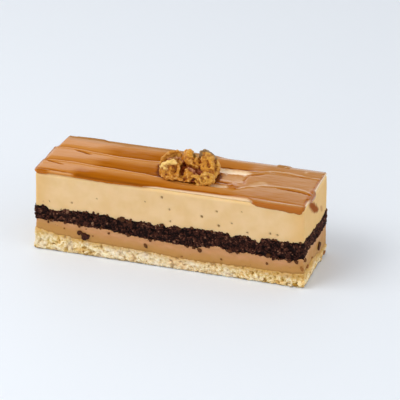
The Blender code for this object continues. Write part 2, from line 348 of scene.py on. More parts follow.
# Heights of the layers as (distance from the left end, height): as the solids have them,
# and where a front list stands beside them, as the front cut shows them.
heights = {
    "sponge": (
        (0, 11.3), (5, 10.5), (10, 9.5), (15, 9.0), (20, 8.3), (30, 7.6), (50, 7.3), (78, 6.1),
        (104, 6.9), (130, 7.0)
    ),
    # how much they rise or fall on the right end, as (distance from the front cut, rise)
    "spongeRight": ((0, 0.7), (5, 1.2), (13, 1.2), (21, -0.2), (27, -1.9), (38, -2.4)),
    "mochaRight": ((0, 0.8), (5, 2.0), (10, 2.1), (18, 1.1), (27, 0.3), (38, 0.2)),
    "cakeRight": ((0, 0.4), (4, 1.0), (13, -0.3), (20, -1.3), (29, -1.9), (38, -1.2)),
    "mocha": ((0, 16.1), (32, 15.6), (52, 14.1), (76, 13.2), (89, 14.6), (97, 13.9), (130, 14.1)),
    "mochaFront": (
        (0, 16.1), (12, 16.1), (23, 15.6), (36, 15.5), (40, 15.0), (49, 14.1), (63, 13.7), (70, 13.2),
        (78, 13.2), (83, 14.3), (89, 15.4), (94, 13.8), (104, 14.3), (113, 13.9), (123, 13.5), (130, 14.2),
    ),
    "cake": (
        (0, 23.5), (9, 21.8), (20, 23.1), (42, 22.5), (62, 22.0), (82, 23.1), (107, 22.2), (130, 23.4)
    ),
    "cakeFront": (
        (0, 23.5), (6, 23.5), (7.5, 21.7), (11, 21.7), (14, 23.0), (27.8, 23.3), (28.9, 24.2), (30, 23.1),
        (36, 23.2), (40, 22.3), (42, 22.3), (43.6, 23.5), (46, 22.6), (57, 22.6), (58.5, 21.7), (61, 21.8),
        (63, 23.1), (65, 21.4), (67, 22.6), (72, 22.7), (76, 23.3), (89, 23.3), (94.3, 23.0), (95.4, 21.8),
        (98, 22.9), (103, 22.7), (105, 21.8), (106.8, 21.8), (108.4, 20.5), (110.6, 23.2), (118, 23.3),
        (119, 22.4), (121, 23.3), (126, 23.4), (130, 23.5),
    ),
}


def spongeTop(x, y, depth):
    return boundary(heights["sponge"], heights["sponge"], heights["spongeRight"], 0.3, x, y, depth)


def mochaTop(x, y, depth):
    return boundary(heights["mochaFront"], heights["mocha"], heights["mochaRight"], 0.35, x, y, depth)


def cakeTop(x, y, depth):
    return boundary(heights["cakeFront"], heights["cake"], heights["cakeRight"], 0.45, x, y, depth)


def below(surface, by):
    # The same surface, lowered so that the layers hold together.
    return lambda x, y, depth: surface(x, y, depth) - by


# Sponge: the lowest layer, an open pale crumb
sponge = {
    "spacing": 0.25,
    "rows": 34,
    "crumb": 1.7,  # size of its crumbs and pores
    "fineCrumb": 0.75,
    "open": 0.5,  # how far the crumbs stand out
    "fine": 0.17,  # and how far the fine ones do
    "lumps": 0.3,  # how uneven the cut is as a whole
    "pits": 0.35,  # depth of its pores
    "spread": 0.35,  # how far the left end's crumb is pressed out
    "ragged": 0.5,  # how far the lower edge frays upwards
}


def spongeFoot(x, y, depth):
    atRim = 1.0 - smooth(depth / 1.6)
    waves = 0.9 * crags(Vector((x, y, 0.0)), 3.1)
    teeth = 0.5 * crags(Vector((x, y, 4.0)), 1.0)
    return max(0.0, sponge["ragged"] * (1.0 + waves + teeth)) * atRim


def spongeRelief(point, near):
    pulled = point + 0.7 * noise.noise_vector(point / 1.9)
    crumb = crags(pulled, sponge["crumb"])
    fine = crags(pulled + Vector((5.0, 2.0, 8.0)), sponge["fineCrumb"])
    lumps = sponge["lumps"] * crags(point, 3.8)
    pit = smooth((-0.28 - crumb) / 0.3)
    out = 0.12 + lumps + sponge["open"] * crumb + sponge["fine"] * fine - sponge["pits"] * pit
    out += sponge["spread"] * pressedOut(point.x) * near
    # painted shade and highlight: the tone follows the relief, darker in the pores and lighter on the crumbs
    # that stand out
    tone = 0.6 + 0.6 * crumb + 0.42 * fine + 0.4 * lumps - 0.25 * pit
    return out * min(1.0, 0.35 + near), 0.2 * fine * near, tone


def spongeMaterial():
    # Vanilla sponge, baked in a sheet and cut: pale, dry, full of pores, with painted shade that makes the
    # pores darker and yellower and a painted highlight on the crumbs that stand out, and with a thin browned
    # skin in places underneath.
    material, tree, place = newMaterial("vanillaSponge")
    tone = addNode(tree, "Attribute", {"attribute_name": "tone"}).outputs["Fac"]
    crumb = addNode(tree, "TexNoise", {"Scale": 1 / (0.8 * mm), "Detail": 3.0}, [("Vector", place)])
    both = varied(tree, tone, crumb, 0.2)
    # painted shade and highlight: ochre in the pores, paler on the standing crumbs and palest on their tops
    low = addNode(tree, "MapRange", {"From Min": -0.1, "From Max": 0.55}, [("Value", both)])
    high = addNode(tree, "MapRange", {"From Min": 0.5, "From Max": 1.1}, [("Value", both)])
    base = addNode(tree, "MixRGB", {"Color1": "AC8232", "Color2": "DEBE7C"}, [("Fac", low)])
    patches = addNode(tree, "TexNoise", {"Scale": 1 / (7.0 * mm), "Detail": 2.0}, [("Vector", place)])
    warm = addNode(
        tree, "MapRange", {"From Min": 0.55, "From Max": 0.72, "To Max": 0.6}, [("Value", patches)]
    )
    split = addNode(tree, "SeparateXYZ", {}, [("Vector", place)])
    ends = addNode(tree, "Math", {"operation": "ABSOLUTE"}, [(0, split.outputs["X"])])
    middle = addNode(
        tree, "MapRange", {"From Min": 12 * mm, "From Max": 45 * mm, "To Min": 0.3, "To Max": 0.0},
        [("Value", ends)],
    )
    somewhere = addNode(
        tree, "MapRange", {"From Min": 0.5, "From Max": 0.35, "To Max": 0.4}, [("Value", patches)]
    )
    pale = addNode(tree, "Math", {"operation": "ADD"}, [(0, somewhere), (1, middle)])
    rise = addNode(tree, "Attribute", {"attribute_name": "rise"}).outputs["Fac"]
    atRight = addNode(
        tree, "MapRange", {"From Min": 25 * mm, "From Max": 60 * mm, "To Max": 0.22},
        [("Value", split.outputs["X"])]
    )
    higher = addNode(tree, "Math", {"operation": "ADD"}, [(0, rise), (1, atRight)])
    wet = addNode(tree, "Math", {"operation": "MULTIPLY_ADD", 1: 0.5}, [(0, crumb), (2, higher)])
    wetter = addNode(tree, "MapRange", {"From Min": 0.95, "From Max": 1.3, "To Max": 0.8}, [("Value", wet)])
    skin = addNode(
        tree, "MapRange", {"From Min": 1.7 * mm, "From Max": 0.2 * mm}, [("Value", split.outputs["Z"])]
    )
    spots = addNode(tree, "TexNoise", {"Scale": 1 / (2.8 * mm), "Detail": 3.0}, [("Vector", place)])
    where = addNode(
        tree, "MapRange", {"From Min": 0.42, "From Max": 0.62, "To Min": 0.1}, [("Value", spots)]
    )
    here = addNode(tree, "Math", {"operation": "MULTIPLY"}, [(0, skin), (1, where)])
    fine = addNode(tree, "TexNoise", {"Scale": 1 / (0.35 * mm), "Detail": 4.0}, [("Vector", place)])
    layers = (
        ("MIX", "FAEBC6", high), ("MULTIPLY", "FFD988", warm), ("MIX", "F2E6D2", pale),
        ("MIX", "C6964A", wetter), ("MIX", "86602A", here),
    )
    return finishMaterial(material, base, layers, fine, 0.5, 0.12, {
        "Roughness": 0.9, "Specular IOR Level": 0.2,
        "Subsurface Weight": 0.2, "Subsurface Radius": (1.2, 0.8, 0.4), "Subsurface Scale": 0.6 * mm,
    })


def buildSponge():
    bm = cakeLayer(sponge["spacing"], sponge["rows"], spongeFoot, spongeTop, 0.3, spongeRelief)
    finishPiece("sponge", bm, spongeMaterial(), "sponge_base")


# Mocha cream: between the sponge and the chocolate cake
mocha = {
    "spacing": 0.45,
    "rows": 16,
    "dragMarks": 0.12,
    "under": 0.25,  # it holds on to the sponge by this much
}


def mochaRelief(point, near):
    streak = crags(Vector((point.x / 3.0, point.y / 3.0, point.z * 0.9)), 1.6)
    lumps = 0.16 * crags(point, 5.0) + mocha["dragMarks"] * streak
    return lumps - 0.1, 0.0, 0.5 + 0.5 * streak


def mochaMaterial():
    # Coffee and cocoa butter cream, spread and cut cold: a smooth satin cut with faint drag marks,
    # paler on top and yellower where the sponge has soaked it.
    material, tree, place = newMaterial("mochaButterCream")
    tone = addNode(tree, "Attribute", {"attribute_name": "tone"}).outputs["Fac"]
    clouds = addNode(tree, "TexNoise", {"Scale": 1 / (5.0 * mm), "Detail": 3.0}, [("Vector", place)])
    both = addNode(tree, "Math", {"operation": "ADD"}, [(0, tone), (1, clouds)])
    shade = addNode(tree, "MapRange", {"From Min": 0.5, "From Max": 1.5}, [("Value", both)])
    base = addNode(tree, "MixRGB", {"Color1": "BE864E", "Color2": "CC9464"}, [("Fac", shade)])
    rise = addNode(tree, "Attribute", {"attribute_name": "rise"}).outputs["Fac"]
    height = addNode(tree, "Math", {"operation": "MULTIPLY_ADD", 1: 0.35}, [(0, clouds), (2, rise)])
    split = addNode(tree, "SeparateXYZ", {}, [("Vector", place)])
    atLeft = addNode(
        tree, "MapRange", {"From Min": -35 * mm, "From Max": -55 * mm, "To Max": 0.3},
        [("Value", split.outputs["X"])]
    )
    atRight = addNode(
        tree, "MapRange", {"From Min": 55 * mm, "From Max": 63 * mm, "To Max": 0.3},
        [("Value", split.outputs["X"])]
    )
    ends = addNode(tree, "Math", {"operation": "ADD"}, [(0, atLeft), (1, atRight)])
    above = addNode(tree, "Math", {"operation": "SUBTRACT"}, [(0, height), (1, ends)])
    lower = addNode(
        tree, "MapRange", {"From Min": 0.9, "From Max": 0.45, "To Max": 0.85}, [("Value", above)]
    )
    foot = addNode(
        tree, "MapRange", {"From Min": 0.34, "From Max": 0.24, "To Max": 0.75}, [("Value", height)]
    )
    speckle = addNode(tree, "TexVoronoi", {"Scale": 1 / (2.6 * mm)}, [("Vector", place)])
    dots = addNode(
        tree, "MapRange", {"From Min": 0.13, "From Max": 0.07, "To Max": 0.6}, [("Value", speckle)]
    )
    fine = addNode(tree, "TexNoise", {"Scale": 1 / (0.6 * mm), "Detail": 3.0}, [("Vector", place)])
    layers = (("MIX", "B78338", lower), ("MIX", "A4742E", foot), ("MIX", "8A5428", dots))
    return finishMaterial(material, base, layers, fine, 0.35, 0.08, {
        "Roughness": 0.55,
        "Subsurface Weight": 0.25, "Subsurface Radius": (1.0, 0.5, 0.25), "Subsurface Scale": 1.0 * mm,
    })


def buildMocha():
    bottom = below(spongeTop, mocha["under"])
    bm = cakeLayer(mocha["spacing"], mocha["rows"], bottom, mochaTop, 0.2, mochaRelief)
    finishPiece("mochaCream", bm, mochaMaterial(), "mocha_cream")


# Chocolate cake: the dark crumbly layer
chocolate = {
    "spacing": 0.23,
    "rows": 42,
    "crumb": 1.5,  # size of the crumbs that the knife leaves standing
    "fineCrumb": 0.65,
    "proud": 0.2,  # how far the layer as a whole stands out
    "lumps": 0.22,
    "crumbs": 0.5,  # how unevenly its crumbs stand out
    "domes": 0.36,  # how round they are
    "crevices": 0.5,
    "most": 0.75,  # nothing stands out further
    "spread": 0.4,  # how far the left end's crumb is pressed out
    "under": 0.35,
}


def chocolateRelief(point, near):
    pulled = point + 0.5 * noise.noise_vector(point / 1.7)
    dome, own = grain(pulled, chocolate["crumb"])
    fineDome, fineOwn = grain(pulled + Vector((7.0, 3.0, 5.0)), chocolate["fineCrumb"])
    lumps = crags(point, 3.4)
    crevice = smooth((-0.25 - crags(pulled + Vector((2.0, 9.0, 1.0)), 2.1)) / 0.4)
    out = chocolate["proud"] * near + chocolate["lumps"] * lumps + chocolate["crumbs"] * own
    out += chocolate["domes"] * (dome - 0.6)
    out += 0.2 * (fineDome - 0.5) + 0.14 * fineOwn - chocolate["crevices"] * crevice
    out += chocolate["spread"] * pressedOut(point.x) * near
    # painted highlight and shade: lighter on the crumbs' domes and darker in the crevices, besides each
    # crumb's own random tone
    tone = -0.05 + 0.3 * dome + 0.75 * own + 0.4 * fineDome + 0.75 * fineOwn + 0.15 * lumps - 0.6 * crevice
    return min(out, chocolate["most"]), 0.5 * own + 0.2 * fineOwn, tone


def chocolateMaterial():
    # Dark cocoa cake, cut dry: nearly black crumb, matt, with brown, darker in its crevices by painted
    # shade, and a few greyish crumb tops that are a painted highlight.
    material, tree, place = newMaterial("darkCocoaCake")
    tone = addNode(tree, "Attribute", {"attribute_name": "tone"}).outputs["Fac"]
    crumb = addNode(tree, "TexNoise", {"Scale": 1 / (0.6 * mm), "Detail": 3.0}, [("Vector", place)])
    both = varied(tree, tone, crumb, 0.25)
    low = addNode(tree, "MapRange", {"From Min": 0.0, "From Max": 0.7}, [("Value", both)])
    # painted highlight: the greyish colour on the highest tones, the crumb tops
    high = addNode(tree, "MapRange", {"From Min": 0.7, "From Max": 1.2}, [("Value", both)])
    dark = addNode(tree, "MixRGB", {"Color1": "140503", "Color2": "4E281C"}, [("Fac", low)])
    fine = addNode(tree, "TexNoise", {"Scale": 1 / (0.3 * mm), "Detail": 4.0}, [("Vector", place)])
    return finishMaterial(
        material, dark, (("MIX", "8E6A50", high),), fine, 0.6, 0.15,
        {"Roughness": 0.8, "Specular IOR Level": 0.15}
    )


def buildChocolate():
    bottom = below(mochaTop, chocolate["under"])
    bm = cakeLayer(chocolate["spacing"], chocolate["rows"], bottom, cakeTop, 0.25, chocolateRelief)
    finishPiece("chocolateCake", bm, chocolateMaterial(), "chocolate_cake")


# Caramel cream: the thick pale layer, with air holes
cream = {
    "spacing": 0.6,
    "rows": 28,
    "rounding": 1.3,
    "under": 0.5,
    # air holes of the front cut: (distance from the left end, height, radius)
    "holes": (
        (18.2, 26.7, 0.55), (30.4, 31.0, 0.35), (62.3, 36.4, 0.5), (65.9, 30.6, 0.55), (66.3, 24.6, 0.5),
        (81.5, 29.5, 0.6), (88.6, 33.2, 0.55), (89.5, 26.0, 0.6), (95.8, 28.2, 0.5), (103.2, 24.6, 0.5),
        (114.0, 25.8, 0.55), (117.5, 25.6, 0.5), (3.9, 25.4, 0.35), (7.2, 26.0, 0.35), (54.0, 33.0, 0.25),
        (47.5, 28.0, 0.25), (100.5, 35.0, 0.25), (73.0, 33.5, 0.2),
    ),
    "otherHoles": 26,  # on the back cut and the ends
    "holeDepth": 1.3,  # in radii
    # painted shade: the air holes are painted darker inside
    "holeShade": 3.0,  # how much darker they are inside
    # caramel dragged down the right end: where it shows in the picture, its half width there,
    # its strength
    "smears": (
        (((311.6, 205.4), (313.2, 207.4), (314.6, 209.6)), 3.6, 0.95),
        (((321.0, 206.6), (321.6, 210.6)), 1.1, 0.4),
    ),
    "seed": 5,
}


def creamTop(x, y, depth):
    return bar["creamTop"]


def creamRelief(point, near):
    # The knife went straight down and left faint upright marks.
    upright = Vector((point.x, point.y, point.z / 9.0))
    marks = 0.07 * crags(upright, 2.2) + 0.09 * crags(point, 9.0) + 0.025 * crags(point, 1.3)
    return marks - 0.05, 0.0, 0.5 + 0.5 * crags(upright, 3.0)


def creamHoles():
    # Every air hole as (its middle on a cut face, that face's direction, radius).
    holes = [
        (Vector((distance - halfLength, -halfWidth, height)), Vector((0, -1, 0)), radius)
        for distance, height, radius in cream["holes"]
    ]
    noise.seed_set(cream["seed"])
    for number in range(cream["otherHoles"]):
        height = 25.5 + 13.0 * noise.random()
        along = noise.random() - 0.5
        radius = 0.25 + 0.4 * noise.random() ** 2
        side = 1 if number % 8 else -1
        if number % 4:
            middle, out = Vector((124.0 * along, halfWidth, height)), Vector((0, 1, 0))
        else:
            middle, out = Vector((side * halfLength, 34.0 * along, height)), Vector((side, 0, 0))
        holes.append((middle, out, radius))
    return holes


def pierce(bm, holes):
    # Refines the cut faces round each hole, and presses the hole into them.
    tone = bm.verts.layers.float["tone"]
    for middle, out, radius in holes:
        middle = skewed(middle)
        reach = 2.2 * radius + 0.3  # its dent ends here
        for _ in range(2):
            near = {
                e for f in bm.faces
                if f.normal.dot(out) > 0.5 and (f.calc_center_median() - middle).length < reach + 0.5
                for e in f.edges
            }
            bmesh.ops.subdivide_edges(bm, edges=list(near), cuts=1, use_grid_fill=True)
            bm.normal_update()
        for vert in bm.verts:
            away = vert.co - middle
            if abs(away.dot(out)) > 1.5:  # behind the cut that it is in
                continue
            flat = (away - out * away.dot(out)).length
            if flat < reach:
                deep = smooth(1.25 - flat / radius * 0.75)
                vert.co -= out * radius * cream["holeDepth"] * deep
                # painted shade inside the air hole
                vert[tone] -= cream["holeShade"] * deep


def creamMaterial():
    # Caramel butter cream, whipped and chilled: close, satin, faintly marked by the knife,
    # with air holes painted darker inside as shade, and a painted highlight along its top edge.
    material, tree, place = newMaterial("caramelButterCream")
    tone = addNode(tree, "Attribute", {"attribute_name": "tone"}).outputs["Fac"]
    # painted shade: darker colour inside the air holes
    hollow = addNode(
        tree, "MapRange", {"From Min": 0.0, "From Max": -1.8, "To Max": 0.85}, [("Value", tone)]
    )
    clouds = addNode(tree, "TexNoise", {"Scale": 1 / (7.0 * mm), "Detail": 2.0}, [("Vector", place)])
    shade = addNode(tree, "MapRange", {"From Min": 0.35, "From Max": 0.65}, [("Value", clouds)])
    base = addNode(tree, "MixRGB", {"Color1": "E0BC88", "Color2": "E6C494"}, [("Fac", shade)])
    split = addNode(tree, "SeparateXYZ", {}, [("Vector", place)])
    ends = addNode(tree, "Math", {"operation": "ABSOLUTE"}, [(0, split.outputs["X"])])
    atEnds = addNode(
        tree, "MapRange", {"From Min": 56 * mm, "From Max": 63.5 * mm, "To Max": 0.45}, [("Value", ends)]
    )
    # painted highlight: paler cream along the top edge, where the light from above falls
    topHighlight = addNode(
        tree, "MapRange", {"From Min": 38.4 * mm, "From Max": 40.2 * mm, "To Max": 0.8},
        [("Value", split.outputs["Z"])],
    )
    smear = addNode(tree, "Attribute", {"attribute_name": "smear"}).outputs["Fac"]
    fine = addNode(tree, "TexNoise", {"Scale": 1 / (0.5 * mm), "Detail": 3.0}, [("Vector", place)])
    layers = (
        ("MIX", "D9A95C", atEnds), ("MIX", "F4CE92", topHighlight), ("MIX", "8A3E04", smear),
        ("MIX", "7C5628", hollow)
    )
    return finishMaterial(material, base, layers, fine, 0.25, 0.06, {
        "Roughness": 0.6, "Specular IOR Level": 0.02,
        "Subsurface Weight": 0.3, "Subsurface Radius": (1.4, 0.9, 0.5), "Subsurface Scale": 1.2 * mm,
    })


def buildCream():
    bottom = below(cakeTop, cream["under"])
    bm = cakeLayer(cream["spacing"], cream["rows"], bottom, creamTop, cream["rounding"], creamRelief)
    bm.normal_update()
    pierce(bm, creamHoles())
    smear = bm.verts.layers.float.new("smear")
    smears = [([Vector(stop) for stop in path], width, most) for path, width, most in cream["smears"]]
    for vert in bm.verts:
        if vert.co.x > halfLength - 1.0:
            for path, width, most in smears:
                edge = toPath(pixelOf(vert.co), path)[0] / width + 0.3 * crags(vert.co, 2.2)
                vert[smear] = max(vert[smear], most * smooth((1.35 - edge) / 0.8))
            vert.co.x += 0.3 * vert[smear]
    splitLarge(bm)
    finishPiece("caramelCream", bm, creamMaterial(), "caramel_cream")


# Loose crumbs: dark ones in the cream and along the chocolate cake's edges
looseCrumbs = {
    "rough": 0.7,  # how far a crumb departs from a ball
    "proud": 0.35,  # how far its middle stands out of the cut, as a share of its depth
    # Where each shows in the picture, how far it reaches along the cut, up and out of the cut,
    # its turn, and its tone, from 0 for nearly black to 1 for the light brown of a soaked crumb.
    # First on the front cut
    "front": (
        (81.2, 232.8, 1.1, 1.25, 0.6, 20, 0.05), (87.6, 236.9, 1.95, 1.75, 0.8, -25, 0.0),
        (84.6, 235.0, 1.2, 1.0, 0.6, 0, 0.1), (65.8, 228.5, 0.4, 0.4, 0.3, 0, 0.6),
        (94.4, 236.3, 0.45, 0.4, 0.3, 0, 0.7), (87.5, 229.4, 0.35, 0.3, 0.3, 0, 0.7),
        (146.8, 246.0, 1.2, 0.8, 0.5, 35, 0.35), (200.2, 250.6, 1.1, 0.95, 0.6, -30, 0.2),
        (221.6, 259.6, 0.55, 0.5, 0.3, 0, 0.6), (267.2, 263.6, 0.6, 0.75, 0.4, 0, 0.4),
        (268.0, 256.0, 0.9, 1.1, 0.5, 0, 0.2), (182.6, 256.6, 0.7, 0.35, 0.3, 0, 0.8),
        (162.6, 225.2, 1.1, 0.9, 0.5, 0, 0.1), (179.5, 228.8, 1.1, 1.0, 0.5, 0, 0.1),
        (123.2, 219.5, 1.4, 1.3, 0.5, 0, 0.1), (230.0, 251.4, 0.9, 0.8, 0.5, 0, 0.2),
        (49.9, 222.0, 0.5, 0.7, 0.4, 0, 0.2), (151.0, 240.6, 0.9, 0.6, 0.4, 0, 0.2),
        (188.0, 246.8, 0.8, 0.6, 0.4, 0, 0.2), (110.0, 233.6, 0.7, 0.5, 0.4, 0, 0.3),
        (130.5, 223.4, 0.9, 0.8, 0.4, 0, 0.1), (143.0, 225.0, 0.8, 0.7, 0.4, 0, 0.1),
        (296.5, 262.4, 1.0, 0.9, 0.6, 0, 0.2), (289.0, 261.4, 0.8, 0.7, 0.5, 0, 0.2),
        (302.0, 268.8, 0.8, 1.1, 0.5, 0, 1.0),
    ),
    # and then on the right end
    "right": (
        (319.4, 245.6, 2.0, 1.8, 0.9, 0, 0.15), (324.0, 252.5, 1.5, 0.8, 0.8, 0, 1.0),
        (305.4, 259.8, 1.0, 1.1, 0.6, 0, 0.4), (307.8, 266.4, 1.2, 0.9, 0.6, 0, 1.0),
        (312.0, 257.4, 0.5, 0.5, 0.4, 0, 0.9),
    ),
    "atEdges": 120,  # half sunk ones along the chocolate's edges
    "seed": 11,
}
# Sponge crumbs at the foot, in the same way. They are pale, and one is big and nearly white.
spongeCrumbs = {
    "front": (
        (300.2, 283.2, 1.7, 1.4, 0.7, 35, 1.3), (295.6, 284.8, 1.2, 0.8, 0.4, 0, -0.4),
        (290.2, 285.2, 0.9, 0.6, 0.6, 0, 0.8), (262.0, 279.0, 1.0, 0.7, 0.5, 10, 0.7),
        (214.0, 270.6, 1.1, 0.8, 0.5, 0, 0.3), (170.4, 263.0, 1.0, 0.7, 0.5, -20, 0.8),
        (118.0, 256.6, 1.0, 0.8, 0.6, 0, 0.6), (58.0, 246.4, 1.2, 0.8, 0.6, 15, 0.9),
        (38.6, 242.6, 1.0, 0.8, 0.6, 0, 0.9),
    ),
    "right": (
        (304.2, 282.4, 1.3, 0.8, 0.8, 0, 0.9), (311.0, 271.6, 1.2, 0.7, 0.7, 0, 0.7),
        (321.0, 259.4, 1.3, 0.7, 0.8, 0, 0.8),
    ),
}


def addCrumb(bm, middle, radii, turn, shade):
    # One crumb: a ball pushed out of shape.
    tone = bm.verts.layers.float["tone"]
    shape = Matrix.LocRotScale(middle, Matrix.Rotation(math.radians(turn), 3, "Y"), Vector(radii))
    size = max(radii)
    detail = 3 if size > 0.8 else 2 if size > 0.45 else 1
    made = bmesh.ops.create_icosphere(bm, subdivisions=detail, radius=1.0, matrix=shape)["verts"]
    for vert in made:
        away = vert.co - middle
        bumps = noise.noise(vert.co / size + Vector((3.0, 1.0, 2.0)))
        vert.co += away * looseCrumbs["rough"] * bumps
        vert[tone] = shade


def crumbsSeen(crumbs):
    # The crumbs of a list, each sunk a third into the cut on which it shows.
    bm = bmesh.new()
    bm.verts.layers.float.new("tone")
    for column, row, along, up, out, turn, shade in crumbs["front"]:
        spot = seenAt(column, row, -halfWidth - looseCrumbs["proud"] * out, 1)
        addCrumb(bm, skewed(spot), (along, out, up), turn, shade)
    for column, row, along, up, out, turn, shade in crumbs["right"]:
        spot = seenAt(column, row, halfLength + looseCrumbs["proud"] * out, 0)
        addCrumb(bm, spot, (out, along, up), turn, shade)
    return bm


def buildCrumbs():
    bm = crumbsSeen(looseCrumbs)
    noise.seed_set(looseCrumbs["seed"])
    for number in range(looseCrumbs["atEdges"]):
        along = bar["length"] * (noise.random() - 0.5)
        size = 0.3 + 0.35 * noise.random()
        offset = noise.random() - 0.4
        side = -1 if number % 3 else 1
        y = side * halfWidth
        if number % 2:
            level = cakeTop(along, y, 0.0) - 0.2
        else:
            level = mochaTop(along, y, 0.0) - 0.4 * offset
        place = Vector((along, y + 0.1 * side, level))
        turn = 360.0 * noise.random()
        addCrumb(bm, skewed(place), (size * 1.2, size, size), turn, 0.3 * noise.random())
    finishPiece("looseCrumbs", bm, crumbMaterial())
    finishPiece("spongeCrumbs", crumbsSeen(spongeCrumbs), bpy.data.materials["vanillaSponge"])


def crumbMaterial():
    # The same dark cocoa cake as loose crumbs: softer, and browner where a crumb is wet by the cream.
    material, tree, place = newMaterial("darkCocoaCrumb")
    tone = addNode(tree, "Attribute", {"attribute_name": "tone"}).outputs["Fac"]
    crumb = addNode(tree, "TexNoise", {"Scale": 1 / (0.7 * mm), "Detail": 3.0}, [("Vector", place)])
    shade = addNode(tree, "MapRange", {"From Min": 0.35, "From Max": 0.7}, [("Value", crumb)])
    base = addNode(tree, "MixRGB", {"Color1": "200702", "Color2": "4C2412"}, [("Fac", shade)])
    return finishMaterial(
        material, base, (("MIX", "96602E", tone),), crumb, 0.6, 0.15,
        {"Roughness": 0.75, "Specular IOR Level": 0.2}
    )


# Caramel glaze: three combed bands, with a rim that folds over the edges
glaze = {
    "stepAlong": 0.62,
    "stepAcross": 0.3,
    "crest": 1.35,  # its thickness at the bands' raised back edges
    "bead": 0.12,  # and how much a bead behind each of them adds
    "least": 0.28,
    "wipedLeast": 0.12,  # what is left of it on the wiped strip
    "seatLeast": 0.75,  # and under the walnut
    "backThinned": 0.75,  # how much thinner the back edge is on the right
    "thinShade": 0.12,  # depth of its colour where it is thin
    # painted shade at the foot of the next band:
    "footShade": 0.55,  # and how much deeper it is along a band's front edge
    "rimInset": 0.55,  # the rim starts this far inside its reach
    "rimStart": 0.06,  # and this much lower than the top
    "seat": (5.3, -4.4, 11.5, 7.6),  # where the walnut lies: its middle and radii
    # how far the bands fall towards their fronts, as (distance from the left end, fall)
    "fall": ((0, 0.7), (18, 0.75), (32, 1.05), (90, 1.0), (99, 0.3), (130, 0.25)),
    # the higher, the nearer to its front a band falls
    "bend": ((0, 7.0), (14, 6.0), (22, 3.0), (32, 1.5), (130, 1.5)),
    # the share of a band that lies level
    "flat": ((0, 0.28), (16, 0.25), (28, 0.12), (72, 0.12), (95, 0.28), (130, 0.28)),
    # the second and third band's raised back edges, as (distance from the left end,
    # distance from the back cut)
    "secondEdge": (
        (0, 12.9), (5, 12.2), (12, 12.6), (22, 13.6), (32, 14.5), (44, 14.4), (58, 13.0), (82, 11.2),
        (95, 10.7), (105, 9.4), (130, 9.0),
    ),
    "thirdEdge": (
        (0, 27.2), (6, 26.0), (14, 25.8), (30, 26.8), (48, 27.8), (58, 28.9), (84, 31.0), (95, 29.2),
        (101, 25.2), (106, 22.9), (113, 22.2), (120, 22.1), (125, 22.7), (130, 25.0),
    ),
    # how deep each band's colour runs at its front, from the back one to the front one: partly the glaze's
    # own deeper colour and partly painted shade where the slope towards the front shows no sheen
    "poolsAndShade": (
        ((0, 0.0), (20, 0.05), (30, 0.85), (56, 1.0), (80, 0.5), (94, 0.35), (101, 0.1), (130, 0.0)),
        ((0, 0.05), (20, 0.2), (29, 1.0), (58, 1.0), (82, 0.6), (96, 0.1), (130, 0.05)),
        ((0, 0.1), (15, 0.1), (21, 1.0), (58, 1.0), (76, 0.65), (90, 0.45), (104, 0.3), (130, 0.25)),
    ),
    # where the rim folds over, on the front cut from the left end and on the right end from the
    # front cut, and where the cream shows along the front edge instead
    "frontFold": (6.5, 20.0),
    "rightFold": (5.0, 18.2),
    "bareFront": (52.0, 106.0),
    # where the front strip is wiped down to the cream, as (distance, width of that strip)
    "wiped": ((52, 0.0), (60, 1.2), (72, 1.4), (82, 1.7), (96, 2.0), (102, 2.0), (105.5, 0.0)),
    # the rim: how far its bands stand out over the left end, as (distance from the back cut, reach),
    # and how far it hangs down the front cut, as (distance from the left end, drop)
    "leftReach": (
        (0, 0.1), (5, 0.3), (10.5, 0.4), (13.2, 1.8), (19, 1.5), (25, 1.0), (28.5, 1.2), (36, 1.0),
        (38.6, 0.3)
    ),
    "frontDrop": (
        (0, 0.3), (2, 0.75), (5.5, 0.6), (7.5, -0.35), (17, -0.3), (20, 0.25), (24, 0.15), (28, 0.4),
        (31, 0.65), (33, 0.45), (36, 0.7), (40, 0.5), (46, 0.15), (52, -0.1), (104, -0.1), (105.5, 0.8),
        (108, 1.8), (113, 2.15), (120, 2.3), (123, 2.9), (125, 2.6), (127.5, 3.0), (129.5, 2.0),
        (130, 1.8),
    ),
    # how far it hangs down the right end, as (distance from the front cut, drop)
    "rightDrop": (
        (0, 1.2), (2.5, 0.1), (7.4, 0.4), (11.5, 2.0), (14.5, 2.3), (16.8, 2.3), (17.9, 0.3), (38.6, 0.1)
    ),
}
